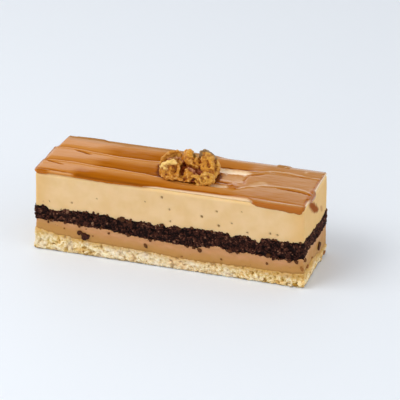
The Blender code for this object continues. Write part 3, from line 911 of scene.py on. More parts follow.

# What the spatula left besides the bands. A path's points are (distance from the left end, distance
# from the back cut), then come its half width, how high it stands, how deep its colour is (0 thin,
# 1 pooled, 1.5 nearly brown) and how bare the cream shows through. A depth above 1 is painted shade in
# the grooves, creases and dark lines, and beside the kernel it is the kernel's painted shadow; the
# paleness given to the crests, folds and beads is a painted highlight.
strokes = {
    "groove by the second band": (((9.5, 14.2), (14.0, 15.0), (18.5, 16.7)), 0.5, -0.4, 1.5, 0.0),
    "groove by the third band": (((0.2, 27.9), (4.5, 28.7), (10.5, 30.2)), 0.45, -0.35, 1.3, 0.0),
    "curl of the back edge": (((5.0, 0.4), (13.0, 0.1), (18.0, 0.4), (22.0, 1.9)), 0.55, 0.35, 1.4, 0.0),
    "crease over the fold": (((0.0, 36.4), (6.0, 36.2), (12.0, 36.6), (18.0, 36.9)), 0.4, -0.35, 1.2, 0.0),
    "fold at the front": (((7.5, 37.9), (13.0, 38.0), (18.5, 38.1)), 0.7, 0.25, 0.0, 0.15),
    "drop at the front corner": (((1.0, 38.0), (5.0, 38.0)), 1.0, 0.25, 1.0, 0.0),
    "bare patch": (((82.5, 13.6), (88.0, 13.7), (93.8, 13.5)), 1.9, -0.6, 0.0, 1.0),
    "smear below it": (((82.0, 20.2), (93.0, 20.0)), 2.8, -0.25, 0.4, 0.25),
    "dark edge above it": (((79.0, 9.9), (90.0, 9.8), (98.5, 9.7)), 0.8, 0.0, 1.4, 0.0),
    "second bare patch": (((83.0, 28.4), (89.0, 28.2)), 1.2, -0.35, 0.0, 0.7),
    "line between them": (((82.0, 24.6), (90.8, 25.0)), 0.7, -0.2, 1.25, 0.0),
    "lump": (((92.3, 27.0), (93.0, 29.2)), 1.9, 0.5, 0.85, 0.0),
    "spur of the lump": (((91.0, 25.8), (91.8, 27.2)), 0.7, 0.15, 0.9, 0.0),
    "edge of the lump": (((94.6, 27.4), (95.0, 31.2)), 0.45, -0.05, 1.2, 0.0),
    "arc": (((96.6, 16.0), (98.3, 14.3), (100.5, 13.4), (103.0, 12.1)), 0.45, -0.35, 1.3, 0.0),
    "second arc": (((98.0, 10.8), (101.0, 10.0), (104.0, 8.9)), 0.45, -0.25, 1.25, 0.0),
    "mark": (((96.4, 16.4), (95.7, 20.4), (97.0, 24.4)), 0.45, -0.25, 1.1, 0.0),
    "crest behind": (
        ((99.5, 10.3), (103.0, 9.4), (107.0, 8.2), (113.0, 8.0), (118.0, 8.6), (124.5, 9.5)), 0.6, 0.3,
        0.0, 0.15
    ),
    "groove behind": (((105.5, 9.7), (112.0, 9.3), (118.0, 9.9), (124.5, 10.6)), 0.4, -0.35, 1.25, 0.0),
    "crest in front": (
        ((105.5, 22.8), (109.0, 22.3), (114.0, 22.3), (119.0, 22.0), (125.0, 22.7), (129.5, 25.0)), 0.65,
        0.12, 0.0, 0.12
    ),
    "crest by the lump": (((95.8, 28.8), (98.0, 27.2), (100.5, 25.6)), 0.65, 0.12, 0.0, 0.15),
    "groove in front": (
        ((112.5, 24.0), (119.5, 24.3), (125.0, 24.9), (129.0, 26.8)), 0.55, -0.4, 1.35, 0.0
    ),
    "light smear": (((101.8, 24.0), (104.8, 21.2)), 2.1, -0.05, 0.1, 0.24),
    "pale spot": (((120.5, 4.2), (121.5, 5.6)), 0.8, 0.05, 0.0, 0.3),
    "bump of the back edge": (((107.0, 0.6), (111.0, 0.6)), 1.6, 0.6, 0.2, 0.0),
    "line along the front": (((95.0, 35.5), (110.0, 35.9), (129.0, 36.6)), 0.4, -0.15, 0.9, 0.0),
    "bead over the drip": (((106.0, 37.7), (129.0, 37.9)), 0.45, 0.15, 0.0, 0.08),
    "deep front edge": (((48.0, 37.3), (66.0, 37.0), (84.0, 36.4), (102.0, 36.2)), 0.85, 0.0, 1.2, 0.0),
    "line along the right end": (
        ((129.2, 0.8), (129.2, 22.0), (129.0, 31.0), (129.2, 38.0)), 0.5, -0.1, 1.35, 0.0
    ),
    "fold at the right end": (((129.0, 21.5), (128.4, 25.5), (129.2, 29.5)), 0.9, 0.1, 1.0, 0.0),
    "shade left of the kernel": (((53.6, 17.5), (55.0, 22.6), (57.6, 28.0)), 1.4, 0.0, 1.6, 0.0),
    "shade right of the kernel": (((82.3, 17.4), (83.6, 21.4), (82.8, 25.4)), 1.5, 0.0, 1.7, 0.0),
}


def toPath(point, path):
    # (distance from a point to a path of straight stretches, share of the path where that is).
    nearest = (1e9, 0.0)
    for number, (start, end) in enumerate(zip(path, path[1:])):
        along = end - start
        share = min(1.0, max(0.0, (point - start).dot(along) / along.length_squared))
        gap = (point - start - along * share).length
        nearest = min(nearest, (gap, (number + share) / (len(path) - 1)))
    return nearest


def pathsNear(paths, reach):
    # Each path of Vectors as (path, its middle, how far from there it can still be within reach).
    made = []
    for path in paths:
        middle = sum(path, path[0] * 0.0) / len(path)
        made.append((path, middle, max((stop - middle).length for stop in path) + reach))
    return made


# No stroke reaches further than 8 mm from its path.
strokePaths = pathsNear([[Vector(stop) for stop in stroke[0]] for stroke in strokes.values()], 8.0)


def glazeAt(x, y):
    # (thickness of the glaze, how deep its colour is, painted shade included, how bare the cream shows
    # through, with a painted highlight on the crests, folds and beads).
    distance = x + halfLength
    fromBack = halfWidth - y
    second = profile(glaze["secondEdge"], distance)
    third = profile(glaze["thirdEdge"], distance)
    edges = (0.0, second, third, bar["width"])
    fall = profile(glaze["fall"], distance)
    bend = profile(glaze["bend"], distance)
    flat = profile(glaze["flat"], distance)
    thickness = deep = 0.0
    for band in range(3):
        share = min(1.0, max(0.0, (fromBack - edges[band]) / (edges[band + 1] - edges[band])))
        own = glaze["crest"] - fall * (max(0.0, share - flat) / (1.0 - flat)) ** bend
        own += glaze["bead"] * math.exp(-((fromBack - edges[band] - 0.9) / 0.6) ** 2)
        # partly painted shade: the colour deepens towards the band's front, where the slope shows no sheen
        poolAndShade = profile(glaze["poolsAndShade"][band], distance)
        poolingAndShade = 0.88 * smooth((share - 0.2) / 0.46) + 0.3 * smooth((share - 0.75) / 0.2)
        shade = glaze["thinShade"] + poolAndShade * poolingAndShade
        # painted shade along its front edge, at the foot of the next band's raised edge
        if band < 2:  # a line of deep colour along its front edge, except at the far right
            line = smooth((share - 0.86) / 0.1) * smooth((104.0 - distance) / 12.0)
            shade += glaze["footShade"] * (1.0 - poolAndShade) * line
        over = smooth((fromBack - edges[band] + 0.45) / 0.7) if band else 1.0
        thickness += (own - thickness) * over
        deep += (shade - deep) * over
    waves = 0.1 * crags(Vector((x, y, 5.0)), 16.0)
    drawn = 0.025 * crags(Vector((x / 6.0, y, 2.0)), 1.1)  # fine lines along the bar
    thickness += waves + drawn
    thickness -= glaze["backThinned"] * smooth((distance - 74.0) / 8.0) * smooth(1.0 - fromBack / 3.2)
    bare = 0.0
    spot = Vector((distance, fromBack))
    for (path, middle, far), (_, width, rise, depth, shown) in zip(strokePaths, strokes.values()):
        if (spot - middle).length > far:
            continue
        away, share = toPath(spot, path)
        taper = smooth(min(share, 1.0 - share) / 0.25) if width < 0.9 else 1.0
        away /= width * (0.5 + 0.5 * taper)
        wobble = 1.0 + 0.3 * noise.noise(Vector((x, y, 3.0)) / 1.7)
        here = smooth((1.6 * wobble - away) / 1.2) * (0.6 + 0.4 * taper)
        thickness += rise * here
        deep += (depth - deep) * here
        bare += (shown - bare) * here
    strip = profile(glaze["wiped"], distance)
    if strip > 0.05:
        wiped = smooth((strip - (bar["width"] - fromBack)) / 0.5 + 0.5)
        bare = max(bare, 0.9 * wiped)
        thickness += (glaze["wipedLeast"] - thickness) * wiped
        # the glaze's own edge beside the wiped strip is deep
        edge = abs(bar["width"] - fromBack - strip - 0.7)
        deep = max(deep, 1.1 * smooth(1.0 - edge / 0.9))
    # the kernel lies in it
    middleX, middleY, radiusX, radiusY = glaze["seat"]
    outside = math.hypot((x - middleX) / radiusX, (y - middleY) / radiusY) - 1.0
    under = smooth(1.0 - 3.0 * outside)
    thickness += (min(glaze["seatLeast"], thickness) - thickness) * under
    return max(0.1 if bare > 0.5 else glaze["least"], thickness), deep, bare


def lip(x, y):
    # (reach past the cut face, drop below the cream's top, how bare, how deep) of the glaze's rim.
    distance = x + halfLength
    if x < bar["corner"] - halfLength:
        return profile(glaze["leftReach"], halfWidth - y), 0.1, 0.0, 0.5
    if x > halfLength - bar["corner"]:
        start, end = glaze["rightFold"]
        fold = smooth((halfWidth + y - start) / 5.0) * smooth((end - halfWidth - y) / 1.2)
        reach = 0.15 * crags(Vector((x, y, 9.0)), 6.0) - 0.1 + 0.7 * fold
        thinned = smooth((halfWidth + y - 1.5) / 1.5) * (1.0 - fold)
        return reach, profile(glaze["rightDrop"], halfWidth + y), 0.85 * thinned, 1.1
    if y > 0:
        return 0.2 * crags(Vector((x, y, 9.0)), 6.0), 0.15, 0.0, 0.3
    start, end = glaze["bareFront"]
    wiped = smooth((distance - start) / 6.0) * smooth((end - distance) / 2.0)
    drop = profile(glaze["frontDrop"], distance) + 0.12 * crags(Vector((x, 3.0, 0.0)), 1.6)
    reach = 0.4 + 0.12 * crags(Vector((x, 7.0, 0.0)), 2.2) - 0.95 * wiped
    start, end = glaze["frontFold"]
    fold = smooth((distance - start) / 1.0) * smooth((end - distance) / 2.0)
    return reach, drop, wiped, 1.0 - 0.75 * fold


# The rim's section from the top edge down and back under: (share of its height, share of its reach)
rimSection = (
    (0.06, 0.35), (0.16, 0.7), (0.32, 0.93), (0.5, 1.0), (0.7, 0.97), (0.86, 0.8), (0.96, 0.5), (1.0, 0.1),
)


def buildGlaze():
    bm = bmesh.new()
    columns = round(bar["length"] / glaze["stepAlong"])
    rows = round(bar["width"] / glaze["stepAcross"])
    bmesh.ops.create_grid(bm, x_segments=columns, y_segments=rows, size=0.5)
    place = bm.verts.layers.float_vector.new("place")
    deepLayer = bm.verts.layers.float.new("deep")
    bareLayer = bm.verts.layers.float.new("bare")
    rim = [e for e in bm.edges if e.is_boundary]
    rimVerts = vertsOf(rim)
    for vert in bm.verts:
        x, y = vert.co.x * bar["length"], vert.co.y * bar["width"]
        vert[place] = (x, y, 0.0)
        thickness, deep, bare = glazeAt(x, y)
        vert[deepLayer] = deep
        vert[bareLayer] = bare
        vert.co = (x, y, bar["creamTop"] + thickness)
        if vert in rimVerts:
            edge = onCut(x, y, lip(x, y)[0] - glaze["rimInset"])
            vert.co = (edge.x, edge.y, vert.co.z - glaze["rimStart"])
    for down, out in rimSection:
        rim = extrudeRing(bm, rim)
        for vert in vertsOf(rim):
            x, y, _ = vert[place]
            thickness, deep, bare = glazeAt(x, y)
            reach, drop, rimBare, rimDeep = lip(x, y)
            spot = onCut(x, y, (reach + glaze["rimInset"]) * out - glaze["rimInset"])
            high = bar["creamTop"] + thickness - glaze["rimStart"]
            low = bar["creamTop"] - drop
            vert.co = (spot.x, spot.y, high + (low - high) * down)
            over = smooth(down / 0.16)  # the rim's own colour sets in
            vert[deepLayer] = deep + (rimDeep - deep) * over
            vert[bareLayer] = bare + (rimBare - bare) * over
    for out in (None, -1.6, -3.0):  # back under: below the rim, and then inside the cream's top
        rim = extrudeRing(bm, rim)
        for vert in vertsOf(rim):
            x, y, _ = vert[place]
            if out is None:
                spot = onCut(x, y, -0.25)
                z = bar["creamTop"] - lip(x, y)[1]
            else:
                spot = Vector((x * (1.0 + out / halfLength), y * (1.0 + out / halfWidth), 0.0))
                z = bar["creamTop"] - 0.1
            vert.co = (spot.x, spot.y, z)
    bmesh.ops.holes_fill(bm, edges=rim, sides=0)
    bmesh.ops.remove_doubles(bm, verts=bm.verts[:], dist=0.01)
    splitLarge(bm)
    for vert in bm.verts:
        vert.co = skewed(vert.co)
    finishPiece("caramelGlaze", bm, glazeMaterial(), "caramel_glaze")


def glazeMaterial():
    # Caramel glaze, poured warm and combed: glossy, tan where it is thin, a little darker towards the right
    # as painted shade, deep amber towards each band's front, partly its own colour and partly painted shade
    # where the slope shows no sheen, near brown as painted shade in grooves, creases and beside the kernel,
    # and pale where the cream shows through, and as a painted highlight on crests, folds and beads.
    material, tree, place = newMaterial("caramelGlaze")
    deep = addNode(tree, "Attribute", {"attribute_name": "deep"}).outputs["Fac"]
    bare = addNode(tree, "Attribute", {"attribute_name": "bare"}).outputs["Fac"]
    streaks = addNode(tree, "Mapping", {"Scale": (0.12, 1.0, 1.0)}, [("Vector", place)])
    lines = addNode(tree, "TexNoise", {"Scale": 1 / (1.4 * mm), "Detail": 3.0}, [("Vector", streaks)])
    both = varied(tree, deep, lines, 0.1)
    pooledAndShaded = addNode(tree, "MapRange", {}, [("Value", both)])  # held between 0 and 1
    split = addNode(tree, "SeparateXYZ", {}, [("Vector", place)])
    # painted shade: the thin glaze's colour is browner and darker towards the right, where less light falls
    shadedTowardsRight = addNode(
        tree, "MapRange", {"From Min": 12 * mm, "From Max": 42 * mm}, [("Value", split.outputs["X"])]
    )
    thin = addNode(tree, "MixRGB", {"Color1": "CC883E", "Color2": "B87E3E"}, [("Fac", shadedTowardsRight)])
    atBack = addNode(
        tree, "MapRange", {"From Min": 14.0 * mm, "From Max": 18.2 * mm, "To Max": 0.8},
        [("Value", split.outputs["Y"])],
    )
    # painted shade: the near brown where the colour depth passes 1, in grooves, creases, dark lines and the
    # kernel's shadow
    darkest = addNode(tree, "MapRange", {"From Min": 1.0, "From Max": 1.5}, [("Value", both)])
    # the bare cream colour is also a painted highlight on the crests, folds and beads
    layers = (
        ("MIX", "AB5E02", pooledAndShaded), ("MIX", "A27442", atBack), ("MIX", "763806", darkest),
        ("MIX", "F8D9B0", bare)
    )
    return finishMaterial(
        material, thin, layers, lines, 0.12, 0.1,
        {"Roughness": 0.15, "IOR": 1.42, "Specular IOR Level": 0.35}
    )


# Walnut half: the kernel lies on the glaze with its hollow side up. Its ridges are rows of
# balls that melt together, through points that show at a (column, row) of the picture, each with
# its (height, radius).
walnut = {
    "seat": 40.7,
    "foot": 43.0,  # the ridges' walls go down to here
    "voxel": 0.34,
    "fineVoxel": 0.27,
    "wrinkle": 0.3,  # depth of the wrinkles
    "wrinkleSize": 2.2,
    "bumps": ((0.22, 1.3), (0.12, 0.6)),  # (height, size) of the uneven skin's bumps
    "knobs": 0.35,  # how much the ridges' thickness varies
    "step": 0.55,  # between the balls of a ridge, in radii
    "wall": 0.85,  # thickness of the ridges' walls, in radii
    "blend": 0.2,  # how far the skins of neighbouring ridges run into each other
    "foldSize": 0.05,  # a fold this deep counts as one
    # painted shade: the dark skin in the gaps, the valley and the cavity, and the darker skins of the
    # ridges' walls, which are partly the brown membrane
    "skins": {
        "pale": "F0C874", "golden": "C6842A", "orange": "D49432", "brown": "CE943A", "grey": "84643C",
        "olive": "8C6418", "membrane": "B07450", "liver": "8A4A28", "dark": "8C4012",
    },
    # plain bodies under the ridges: middle from the bar's middle, radii, turn about z
    "bodies": (
        ((-0.9, -4.8, 42.7), (6.6, 7.4, 2.3), 10), ((5.6, -4.2, 42.4), (8.0, 8.0, 2.0), 0),
        ((12.0, -4.2, 42.8), (6.8, 7.6, 2.5), -12), ((11.6, 1.6, 46.2), (3.4, 2.4, 3.6), -20),
        ((3.4, 0.6, 46.0), (2.0, 2.4, 3.0), 10),
    ),
    # skin of the ridge, skin of its walls, (column, row, height, radius) of its points
    "ridges": {
        "front left brow": ("pale", "golden", (
            (161.5, 166.5, 47.4, 0.9), (164, 164.0, 48.4, 1.2), (168, 162.4, 49.0, 1.35),
            (173, 162.0, 49.1, 1.25), (175.5, 162.8, 48.8, 1.0),
        )),
        "front left ridge": ("pale", "golden", ((163.5, 165, 47.6, 1.3), (165.3, 168, 46.7, 1.35))),
        "front left fold": (
            "golden", "orange",
            ((165.0, 170, 45.8, 1.3), (164, 172.5, 44.8, 1.4), (163, 175.5, 43.6, 1.2))
        ),
        "front left inner ridge": ("golden", "golden", (
            (177.5, 164.0, 48.2, 0.9), (178.8, 167, 47.3, 0.95), (178.8, 170.5, 46.0, 1.0),
            (177.6, 174, 44.6, 1.1), (176.0, 177.2, 43.2, 1.1),
        )),
        "front left middle": ("golden", "golden", ((171, 168.5, 46.0, 2.0), (170.5, 173, 44.5, 1.9))),
        "front left beads": ("golden", "golden", ((172.3, 177, 43.2, 1.7), (170.8, 177.6, 43.0, 1.2))),
        "front left foot": ("golden", "golden", ((167, 178, 42.7, 1.4), (165.5, 177.4, 42.8, 1.2))),
        "front left corner": ("golden", "orange", ((162.4, 175.3, 43.4, 0.9), (161.4, 173.6, 43.8, 0.7))),
        "front left edge": ("golden", "golden", ((160.3, 171, 44.8, 0.85), (160.8, 168, 46, 0.8))),
        "back left rim": ("golden", "brown", (
            (160.8, 163.5, 44.5, 0.95), (162.5, 158.8, 46.5, 0.85), (165.5, 155.2, 47.9, 0.8),
            (170, 152.6, 48.9, 0.8), (174.5, 151.4, 49.3, 0.85), (178.5, 151.9, 49.1, 0.9),
            (181.3, 154, 48.4, 0.9),
        )),
        "back left floor": (
            "olive", "brown",
            ((166.5, 157.5, 46.3, 0.9), (171.5, 155.2, 47.2, 1.0), (177, 154.6, 47.5, 1.2))
        ),
        "membrane": ("membrane", "brown", (
            (168.5, 159.3, 46.3, 0.5), (172, 158.3, 46.7, 0.55), (176, 157.8, 46.9, 0.55),
            (180.3, 158.3, 46.9, 0.6), (182.3, 160.5, 46.2, 0.6),
        )),
        "middle back": ("orange", "brown", ((189.6, 153.6, 49.3, 2.5), (189.2, 157.5, 48.2, 2.6))),
        "middle back top": (
            "orange", "brown",
            ((186.8, 152.0, 49.8, 1.35), (189.2, 151.4, 50.3, 1.25), (192.2, 152.4, 50.0, 1.35))
        ),
        "middle left rim": ("golden", "dark", (
            (185.9, 153.6, 49.3, 0.9), (185.0, 157.3, 48.4, 0.95), (186.2, 160.8, 47.6, 1.0),
            (189.5, 163.4, 46.9, 1.0), (193.5, 165.4, 46.4, 1.0), (197.3, 167, 46.2, 0.9),
        )),
        "middle right rim": (
            "olive", "brown", ((192.8, 151.6, 50.2, 0.85), (195, 155.3, 48.9, 0.8), (196.3, 158, 48, 0.8))
        ),
        "middle bead": ("golden", "golden", ((189.0, 160.4, 48.2, 0.9), (191.3, 160.7, 48.2, 1.0))),
        "middle right": ("golden", "orange", ((196.6, 160.8, 47.4, 1.7), (197.8, 164.2, 46.6, 1.5))),
        "right back": (
            "brown", "brown",
            ((203.8, 154.4, 49.7, 2.4), (207.3, 156.6, 49.2, 2.5), (211.3, 159, 48.4, 2.5))
        ),
        "right back rim": ("grey", "brown", (
            (200.4, 156.2, 49.4, 0.8), (201.6, 153.0, 50.4, 0.85), (204.3, 151.0, 51.0, 0.95),
            (209, 152.6, 50.6, 0.9), (213, 155.4, 49.6, 0.9), (216, 158.7, 48.4, 0.9),
        )),
        "right inner a": (
            "golden", "orange",
            ((203.4, 160.2, 48.3, 1.6), (205.0, 163.6, 47.5, 1.7), (206.3, 166.6, 46.7, 1.5))
        ),
        "right inner b": (
            "orange", "orange",
            ((210.6, 162, 47.9, 1.6), (211.8, 165, 47.1, 1.6), (212.3, 168.3, 46.3, 1.5))
        ),
        "right inner c": (
            "orange", "dark",
            ((201.8, 164.8, 46.9, 1.3), (203.6, 168.2, 46.2, 1.3), (207.5, 169.8, 45.8, 1.4))
        ),
        "right rim": ("brown", "brown", (
            (216.6, 161.5, 47.2, 1.1), (218, 165, 46.1, 1.15), (218, 169.6, 44.8, 1.15),
            (216.2, 173.8, 43.6, 1.2),
        )),
        "septum": (
            "membrane", "dark",
            ((188, 167.8, 46.2, 0.65), (191.5, 169.2, 45.9, 0.7), (194.2, 171.4, 45.4, 0.7))
        ),
        "septum right": ("liver", "dark", ((196.8, 169.8, 45.0, 0.5), (199.8, 171.6, 44.8, 0.5))),
        "gap": ("dark", "dark", (
            (183.0, 164.0, 43.4, 0.7), (183.2, 168.0, 43.0, 0.7), (182.4, 172.5, 42.6, 0.7),
            (180.4, 176.5, 42.2, 0.7),
        )),
        "gap by the knob": ("dark", "dark", ((184.4, 175.0, 42.8, 0.6), (184.8, 179.5, 42.0, 0.6))),
        "cavity": ("dark", "dark", ((192.6, 181.0, 41.8, 0.8), (194.6, 181.6, 41.8, 0.8))),
        "valley": (
            "dark", "dark",
            ((188.0, 169.5, 44.0, 0.6), (195.0, 173.0, 43.6, 0.6), (201.0, 175.4, 43.4, 0.6))
        ),
        "front middle": (
            "golden", "orange",
            ((186.6, 170.6, 45.3, 1.05), (187.3, 173.4, 44.6, 1.5), (188, 176.6, 43.5, 1.7))
        ),
        "front middle side": ("golden", "orange", ((190.4, 174.5, 44.2, 1.3), (190.8, 177.2, 43.4, 1.3))),
        "front knob": ("golden", "dark", ((182.2, 177, 43.0, 1.0), (181.6, 174.8, 43.5, 0.6))),
        "front right ridge": ("brown", "brown", (
            (192.8, 176.6, 44.9, 1.0), (196.5, 178.0, 44.6, 1.3), (200.5, 180.8, 43.8, 1.4),
            (203.8, 183.6, 42.7, 1.3),
        )),
        "front right arch": ("brown", "brown", (
            (202.6, 175.4, 45.6, 1.3), (207.3, 174.6, 45.7, 1.5), (211, 176.2, 45.0, 1.5),
            (212, 179.8, 44.0, 1.5), (209.8, 183, 43.0, 1.5),
        )),
        "front right middle": ("brown", "brown", ((205.4, 179.4, 44.2, 1.5), (206.5, 182.6, 43.2, 1.5))),
        "front right foot": ("brown", "dark", ((195.8, 183.2, 42.3, 1.1), (199.0, 184.6, 42.0, 1.1))),
    },
    # dents between the ridges: (column, row, height) of its points, radius, depth
    "dents": (
        (((184.0, 158.5, 45.6), (183.4, 166.0, 45.0), (183.0, 173.0, 44.0)), 1.2, 1.6),
        (((186.5, 166.0, 46.2), (191.0, 167.2, 46.2), (196.0, 170.6, 45.2), (201.6, 174.6, 45.2)), 0.7, 1.1),
        (((172.5, 166.2, 47.2), (174.2, 168.8, 46.6), (172.0, 172.0, 45.6)), 1.0, 0.7),
        (((215.2, 160, 48.0), (215.8, 168, 46.0)), 0.7, 0.45),
        (((200.3, 158.5, 48.6), (200.3, 166.5, 46.6)), 0.7, 0.6),
        (((208.3, 158.5, 49.0), (208.6, 166.5, 47.2)), 0.6, 0.45),
        (((192.8, 180.9, 43.2), (194.2, 181.6, 43.0)), 1.3, 2.0),
        (((180.6, 172.5, 45.0), (181.4, 176.0, 44.0), (184.6, 177.5, 43.6), (184.6, 181.0, 42.6)), 0.8, 1.2),
        (((204.5, 172.3, 46.0), (210.5, 172.0, 46.0)), 0.9, 0.9),
        (((175.2, 170.0, 46.6), (174.8, 175.5, 44.5)), 0.7, 0.7),
        (((168.0, 166.0, 47.6), (167.2, 171.5, 45.8)), 0.7, 0.6),
        (((203.0, 155.5, 50.6), (209.0, 157.2, 50.2)), 0.7, 0.5),
        (((202.0, 178.0, 45.2), (203.5, 180.5, 44.6)), 0.7, 0.7),
    ),
}


def kernelBalls():
    # Every ball of the kernel's ridges and their walls, as (middle, radius, skin).
    balls = []
    for skin, wallSkin, path in walnut["ridges"].values():
        stops = [(seenAt(*stop[:3]), stop[3]) for stop in path]
        for (start, thick), (end, thin) in zip(stops, stops[1:]):
            steps = max(1, math.ceil((end - start).length / (walnut["step"] * min(thick, thin))))
            for step in range(steps + 1 if end is stops[-1][0] else steps):
                share = step / steps
                middle = start.lerp(end, share)
                radius = thick + (thin - thick) * share
                radius *= 1.0 + walnut["knobs"] * noise.noise(middle / 1.3)
                balls.append((middle, radius, skin))
                level = middle.z - 0.9 * radius
                while level > walnut["foot"]:
                    lower = Vector((middle.x, middle.y, level))
                    balls.append((lower, walnut["wall"] * radius, wallSkin))
                    level -= radius
    return balls


def meltedObject(bm, voxel):
    # Melts a mesh of overlapping forms into one even skin, as a new bmesh.
    mesh = bpy.data.meshes.new("kernel")
    bm.to_mesh(mesh)
    bm.free()
    loose = bpy.data.objects.new("kernel", mesh)
    bpy.context.scene.collection.objects.link(loose)
    melt = loose.modifiers.new("melt", "REMESH")
    melt.mode = "VOXEL"
    melt.voxel_size = voxel
    made = bmesh.new()
    made.from_object(loose, bpy.context.evaluated_depsgraph_get())
    bpy.data.objects.remove(loose)
    made.normal_update()
    return made


def buildWalnut():
    balls = kernelBalls()
    bm = bmesh.new()
    for centre, radii, turn in walnut["bodies"]:
        turned = Matrix.Rotation(math.radians(turn), 3, "Z")
        shape = Matrix.LocRotScale(Vector(centre), turned, Vector(radii))
        bmesh.ops.create_icosphere(bm, subdivisions=3, radius=1.0, matrix=shape)
    mesh = bpy.data.meshes.new("ball")
    ball = bmesh.new()
    bmesh.ops.create_icosphere(ball, subdivisions=2, radius=1.0)
    for middle, radius, _ in balls:
        place = Matrix.LocRotScale(middle, None, Vector((radius, radius, radius)))
        bmesh.ops.transform(ball, matrix=place, verts=ball.verts[:])
        ball.to_mesh(mesh)
        bm.from_mesh(mesh)
        bmesh.ops.transform(ball, matrix=place.inverted(), verts=ball.verts[:])
    ball.free()
    bm = meltedObject(bm, walnut["voxel"])
    # no dent reaches further than 2.5 mm from its path
    dentPaths = pathsNear([[seenAt(*stop) for stop in path] for path, _, _ in walnut["dents"]], 2.5)
    for vert in bm.verts:
        move = 0.0
        for (path, middle, far), (_, radius, depth) in zip(dentPaths, walnut["dents"]):
            if (vert.co - middle).length < far:
                move += depth * smooth(1.3 - 0.8 * toPath(vert.co, path)[0] / radius)
        vert.co -= vert.normal * move
    bm = meltedObject(bm, walnut["fineVoxel"])
    bmesh.ops.smooth_vert(
        bm, verts=bm.verts[:], factor=0.5, use_axis_x=True, use_axis_y=True, use_axis_z=True
    )
    bm.normal_update()
    for vert in bm.verts:
        furrow = max(0.0, 1.0 - abs(noise.noise(vert.co / walnut["wrinkleSize"])) * 3.2)
        bumps = sum(height * noise.noise(vert.co / size) for height, size in walnut["bumps"])
        vert.co += vert.normal * (bumps - walnut["wrinkle"] * furrow)
    cut = bmesh.ops.bisect_plane(
        bm, geom=bm.verts[:] + bm.edges[:] + bm.faces[:],
        plane_co=(0, 0, walnut["seat"]), plane_no=(0, 0, -1), clear_outer=True,
    )
    bmesh.ops.holes_fill(bm, edges=edgesIn(cut["geom_cut"]), sides=0)
    splitLarge(bm)
    colourKernel(bm, balls)
    finishPiece("walnutHalf", bm, walnutMaterial(), "walnut_half")


def colourKernel(bm, balls):
    # Gives each point the skin of the ridge it lies on, and how far it lies in a fold, which the material
    # paints as shade.
    skinLayer = bm.verts.layers.float_color.new("skin")
    foldShadeLayer = bm.verts.layers.float.new("fold")
    tree = kdtree.KDTree(len(balls))
    for number, (middle, _, _) in enumerate(balls):
        tree.insert(middle, number)
    tree.balance()
    skins = {name: Vector(linear(value)) for name, value in walnut["skins"].items()}
    bm.normal_update()
    folds = {}
    for vert in bm.verts:
        found = tree.find_n(vert.co, 8)
        near = [(distance - balls[number][1], balls[number][2]) for _, number, distance in found]
        nearest = min(near)[0]
        colour = Vector((0.0, 0.0, 0.0, 0.0))
        total = 0.0
        for gap, skin in near:
            weight = math.exp((nearest - gap) / walnut["blend"])
            colour += skins[skin] * weight
            total += weight
        vert[skinLayer] = colour / total
        rise = [(e.other_vert(vert).co - vert.co) for e in vert.link_edges]
        folds[vert] = sum(r.dot(vert.normal) for r in rise) / max(1, len(rise))
    for _ in range(3):  # evened out over the neighbours
        folds = {
            v: (value + sum(folds[e.other_vert(v)] for e in v.link_edges)) / (1 + len(v.link_edges))
            for v, value in folds.items()
        }
    for vert, value in folds.items():
        vert[foldShadeLayer] = value / walnut["foldSize"]


def walnutMaterial():
    # Walnut kernel with its skin on: waxy, golden to brown, darker in its folds by painted shade and
    # paler on its ridges by painted highlight.
    material, tree, place = newMaterial("walnutKernel")
    skin = addNode(tree, "Attribute", {"attribute_name": "skin"}).outputs["Color"]
    fold = addNode(tree, "Attribute", {"attribute_name": "fold"}).outputs["Fac"]
    patches = addNode(tree, "TexNoise", {"Scale": 1 / (2.0 * mm), "Detail": 4.0}, [("Vector", place)])
    both = varied(tree, fold, patches, 0.5)
    # painted shade in the folds and painted highlight on the ridges
    low = addNode(tree, "MapRange", {"From Min": -0.2, "From Max": 1.0, "To Max": 0.9}, [("Value", both)])
    high = addNode(tree, "MapRange", {"From Min": -0.3, "From Max": -1.5, "To Max": 0.6}, [("Value", both)])
    fine = addNode(tree, "TexNoise", {"Scale": 1 / (0.5 * mm), "Detail": 4.0}, [("Vector", place)])
    layers = (("MULTIPLY", "9A5210", low), ("MIX", "FFDC94", high))
    return finishMaterial(material, skin, layers, fine, 0.5, 0.12, {
        "Roughness": 0.42, "Specular IOR Level": 0.3,
        "Subsurface Weight": 0.15, "Subsurface Radius": (1.2, 0.7, 0.3), "Subsurface Scale": 0.8 * mm,
    })


# Floor and light: a plain pale floor under a bright sky with two soft lights
studio = {
    "floorColour": "EAEFF5",
    "floorSize": 9.0,
    "sky": "FCFDFF",
    "horizon": 0.88,
    "zenith": 0.55,
    "shine": 1.7,  # what glossy surfaces mirror near the horizon
    "shineAbove": 0.03,  # and overhead
    # soft lights: watts, place, width, height
    "key": (5.0, (-0.5, -0.4, 0.8), 0.7, 0.5),
    "fill": (1.8, (0.95, -0.25, 0.4), 0.7, 0.5),
}


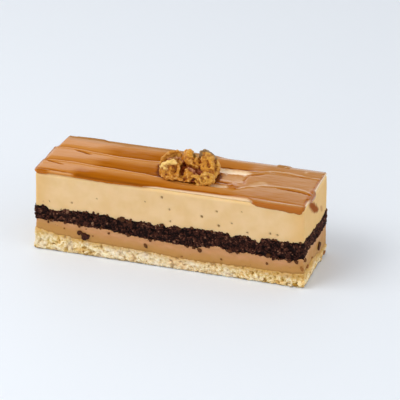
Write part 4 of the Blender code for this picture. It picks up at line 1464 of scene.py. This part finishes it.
def buildFloor():
    bm = bmesh.new()
    bmesh.ops.create_circle(bm, cap_ends=True, segments=96, radius=studio["floorSize"])
    mesh = bpy.data.meshes.new("floor")
    bm.to_mesh(mesh)
    bm.free()
    material, tree, _ = newMaterial("paleFloor")  # a plain matt surface
    shader = tree.nodes["Principled BSDF"]
    shader.inputs["Base Color"].default_value = linear(studio["floorColour"])
    shader.inputs["Roughness"].default_value = 0.55
    shader.inputs["Specular IOR Level"].default_value = 0.2
    mesh.materials.append(material)
    floor = bpy.data.objects.new("floor", mesh)
    bpy.context.scene.collection.objects.link(floor)


def buildLight():
    world = bpy.data.worlds.new("studio")
    bpy.context.scene.world = world
    world.use_nodes = True
    tree = world.node_tree
    background = tree.nodes["Background"]
    direction = addNode(tree, "TexCoord", {})
    split = addNode(tree, "SeparateXYZ", {}, [("Vector", direction.outputs["Generated"])])
    level = addNode(
        tree, "MapRange",
        {"From Min": 0.45, "From Max": 0.75, "To Min": studio["horizon"], "To Max": studio["zenith"]},
        [("Value", split.outputs["Z"])],
    )
    shine = addNode(
        tree, "MapRange",
        {"From Min": 0.465, "From Max": 0.56, "To Min": studio["shine"], "To Max": studio["shineAbove"]},
        [("Value", split.outputs["Z"])],
    )
    ray = addNode(tree, "LightPath", {})
    strength = addNode(
        tree, "MixRGB", {}, [("Fac", ray.outputs["Is Glossy Ray"]), ("Color1", level), ("Color2", shine)]
    )
    background.inputs["Color"].default_value = linear(studio["sky"])
    tree.links.new(strength.outputs["Color"], background.inputs["Strength"])
    for name in ("key", "fill"):
        watts, place, width, height = studio[name]
        light = bpy.data.lights.new(name, "AREA")
        light.energy = watts
        light.shape = "RECTANGLE"
        light.size = width
        light.size_y = height
        lamp = bpy.data.objects.new(name, light)
        aimed = Vector(place).to_track_quat("Z", "Y").to_matrix().to_4x4()
        lamp.matrix_world = Matrix.Translation(place) @ aimed
        lamp.visible_glossy = False
        bpy.context.scene.collection.objects.link(lamp)


def buildCamera():
    data = bpy.data.cameras.new("camera")
    data.angle = math.radians(camera["fieldOfView"])
    data.clip_start = 0.05
    data.clip_end = 50.0
    made = bpy.data.objects.new("camera", data)
    made.matrix_world = Matrix.Translation((eye + barCentre) * mm) @ tilt.to_4x4()
    bpy.context.scene.collection.objects.link(made)
    bpy.context.scene.camera = made


print("building the layers")
buildSponge()
buildMocha()
buildChocolate()
buildCream()
buildCrumbs()
print("building the glaze and the walnut")
buildGlaze()
buildWalnut()
print("setting the stage")
buildFloor()
buildLight()
buildCamera()
bpy.context.scene.view_settings.view_transform = "Standard"
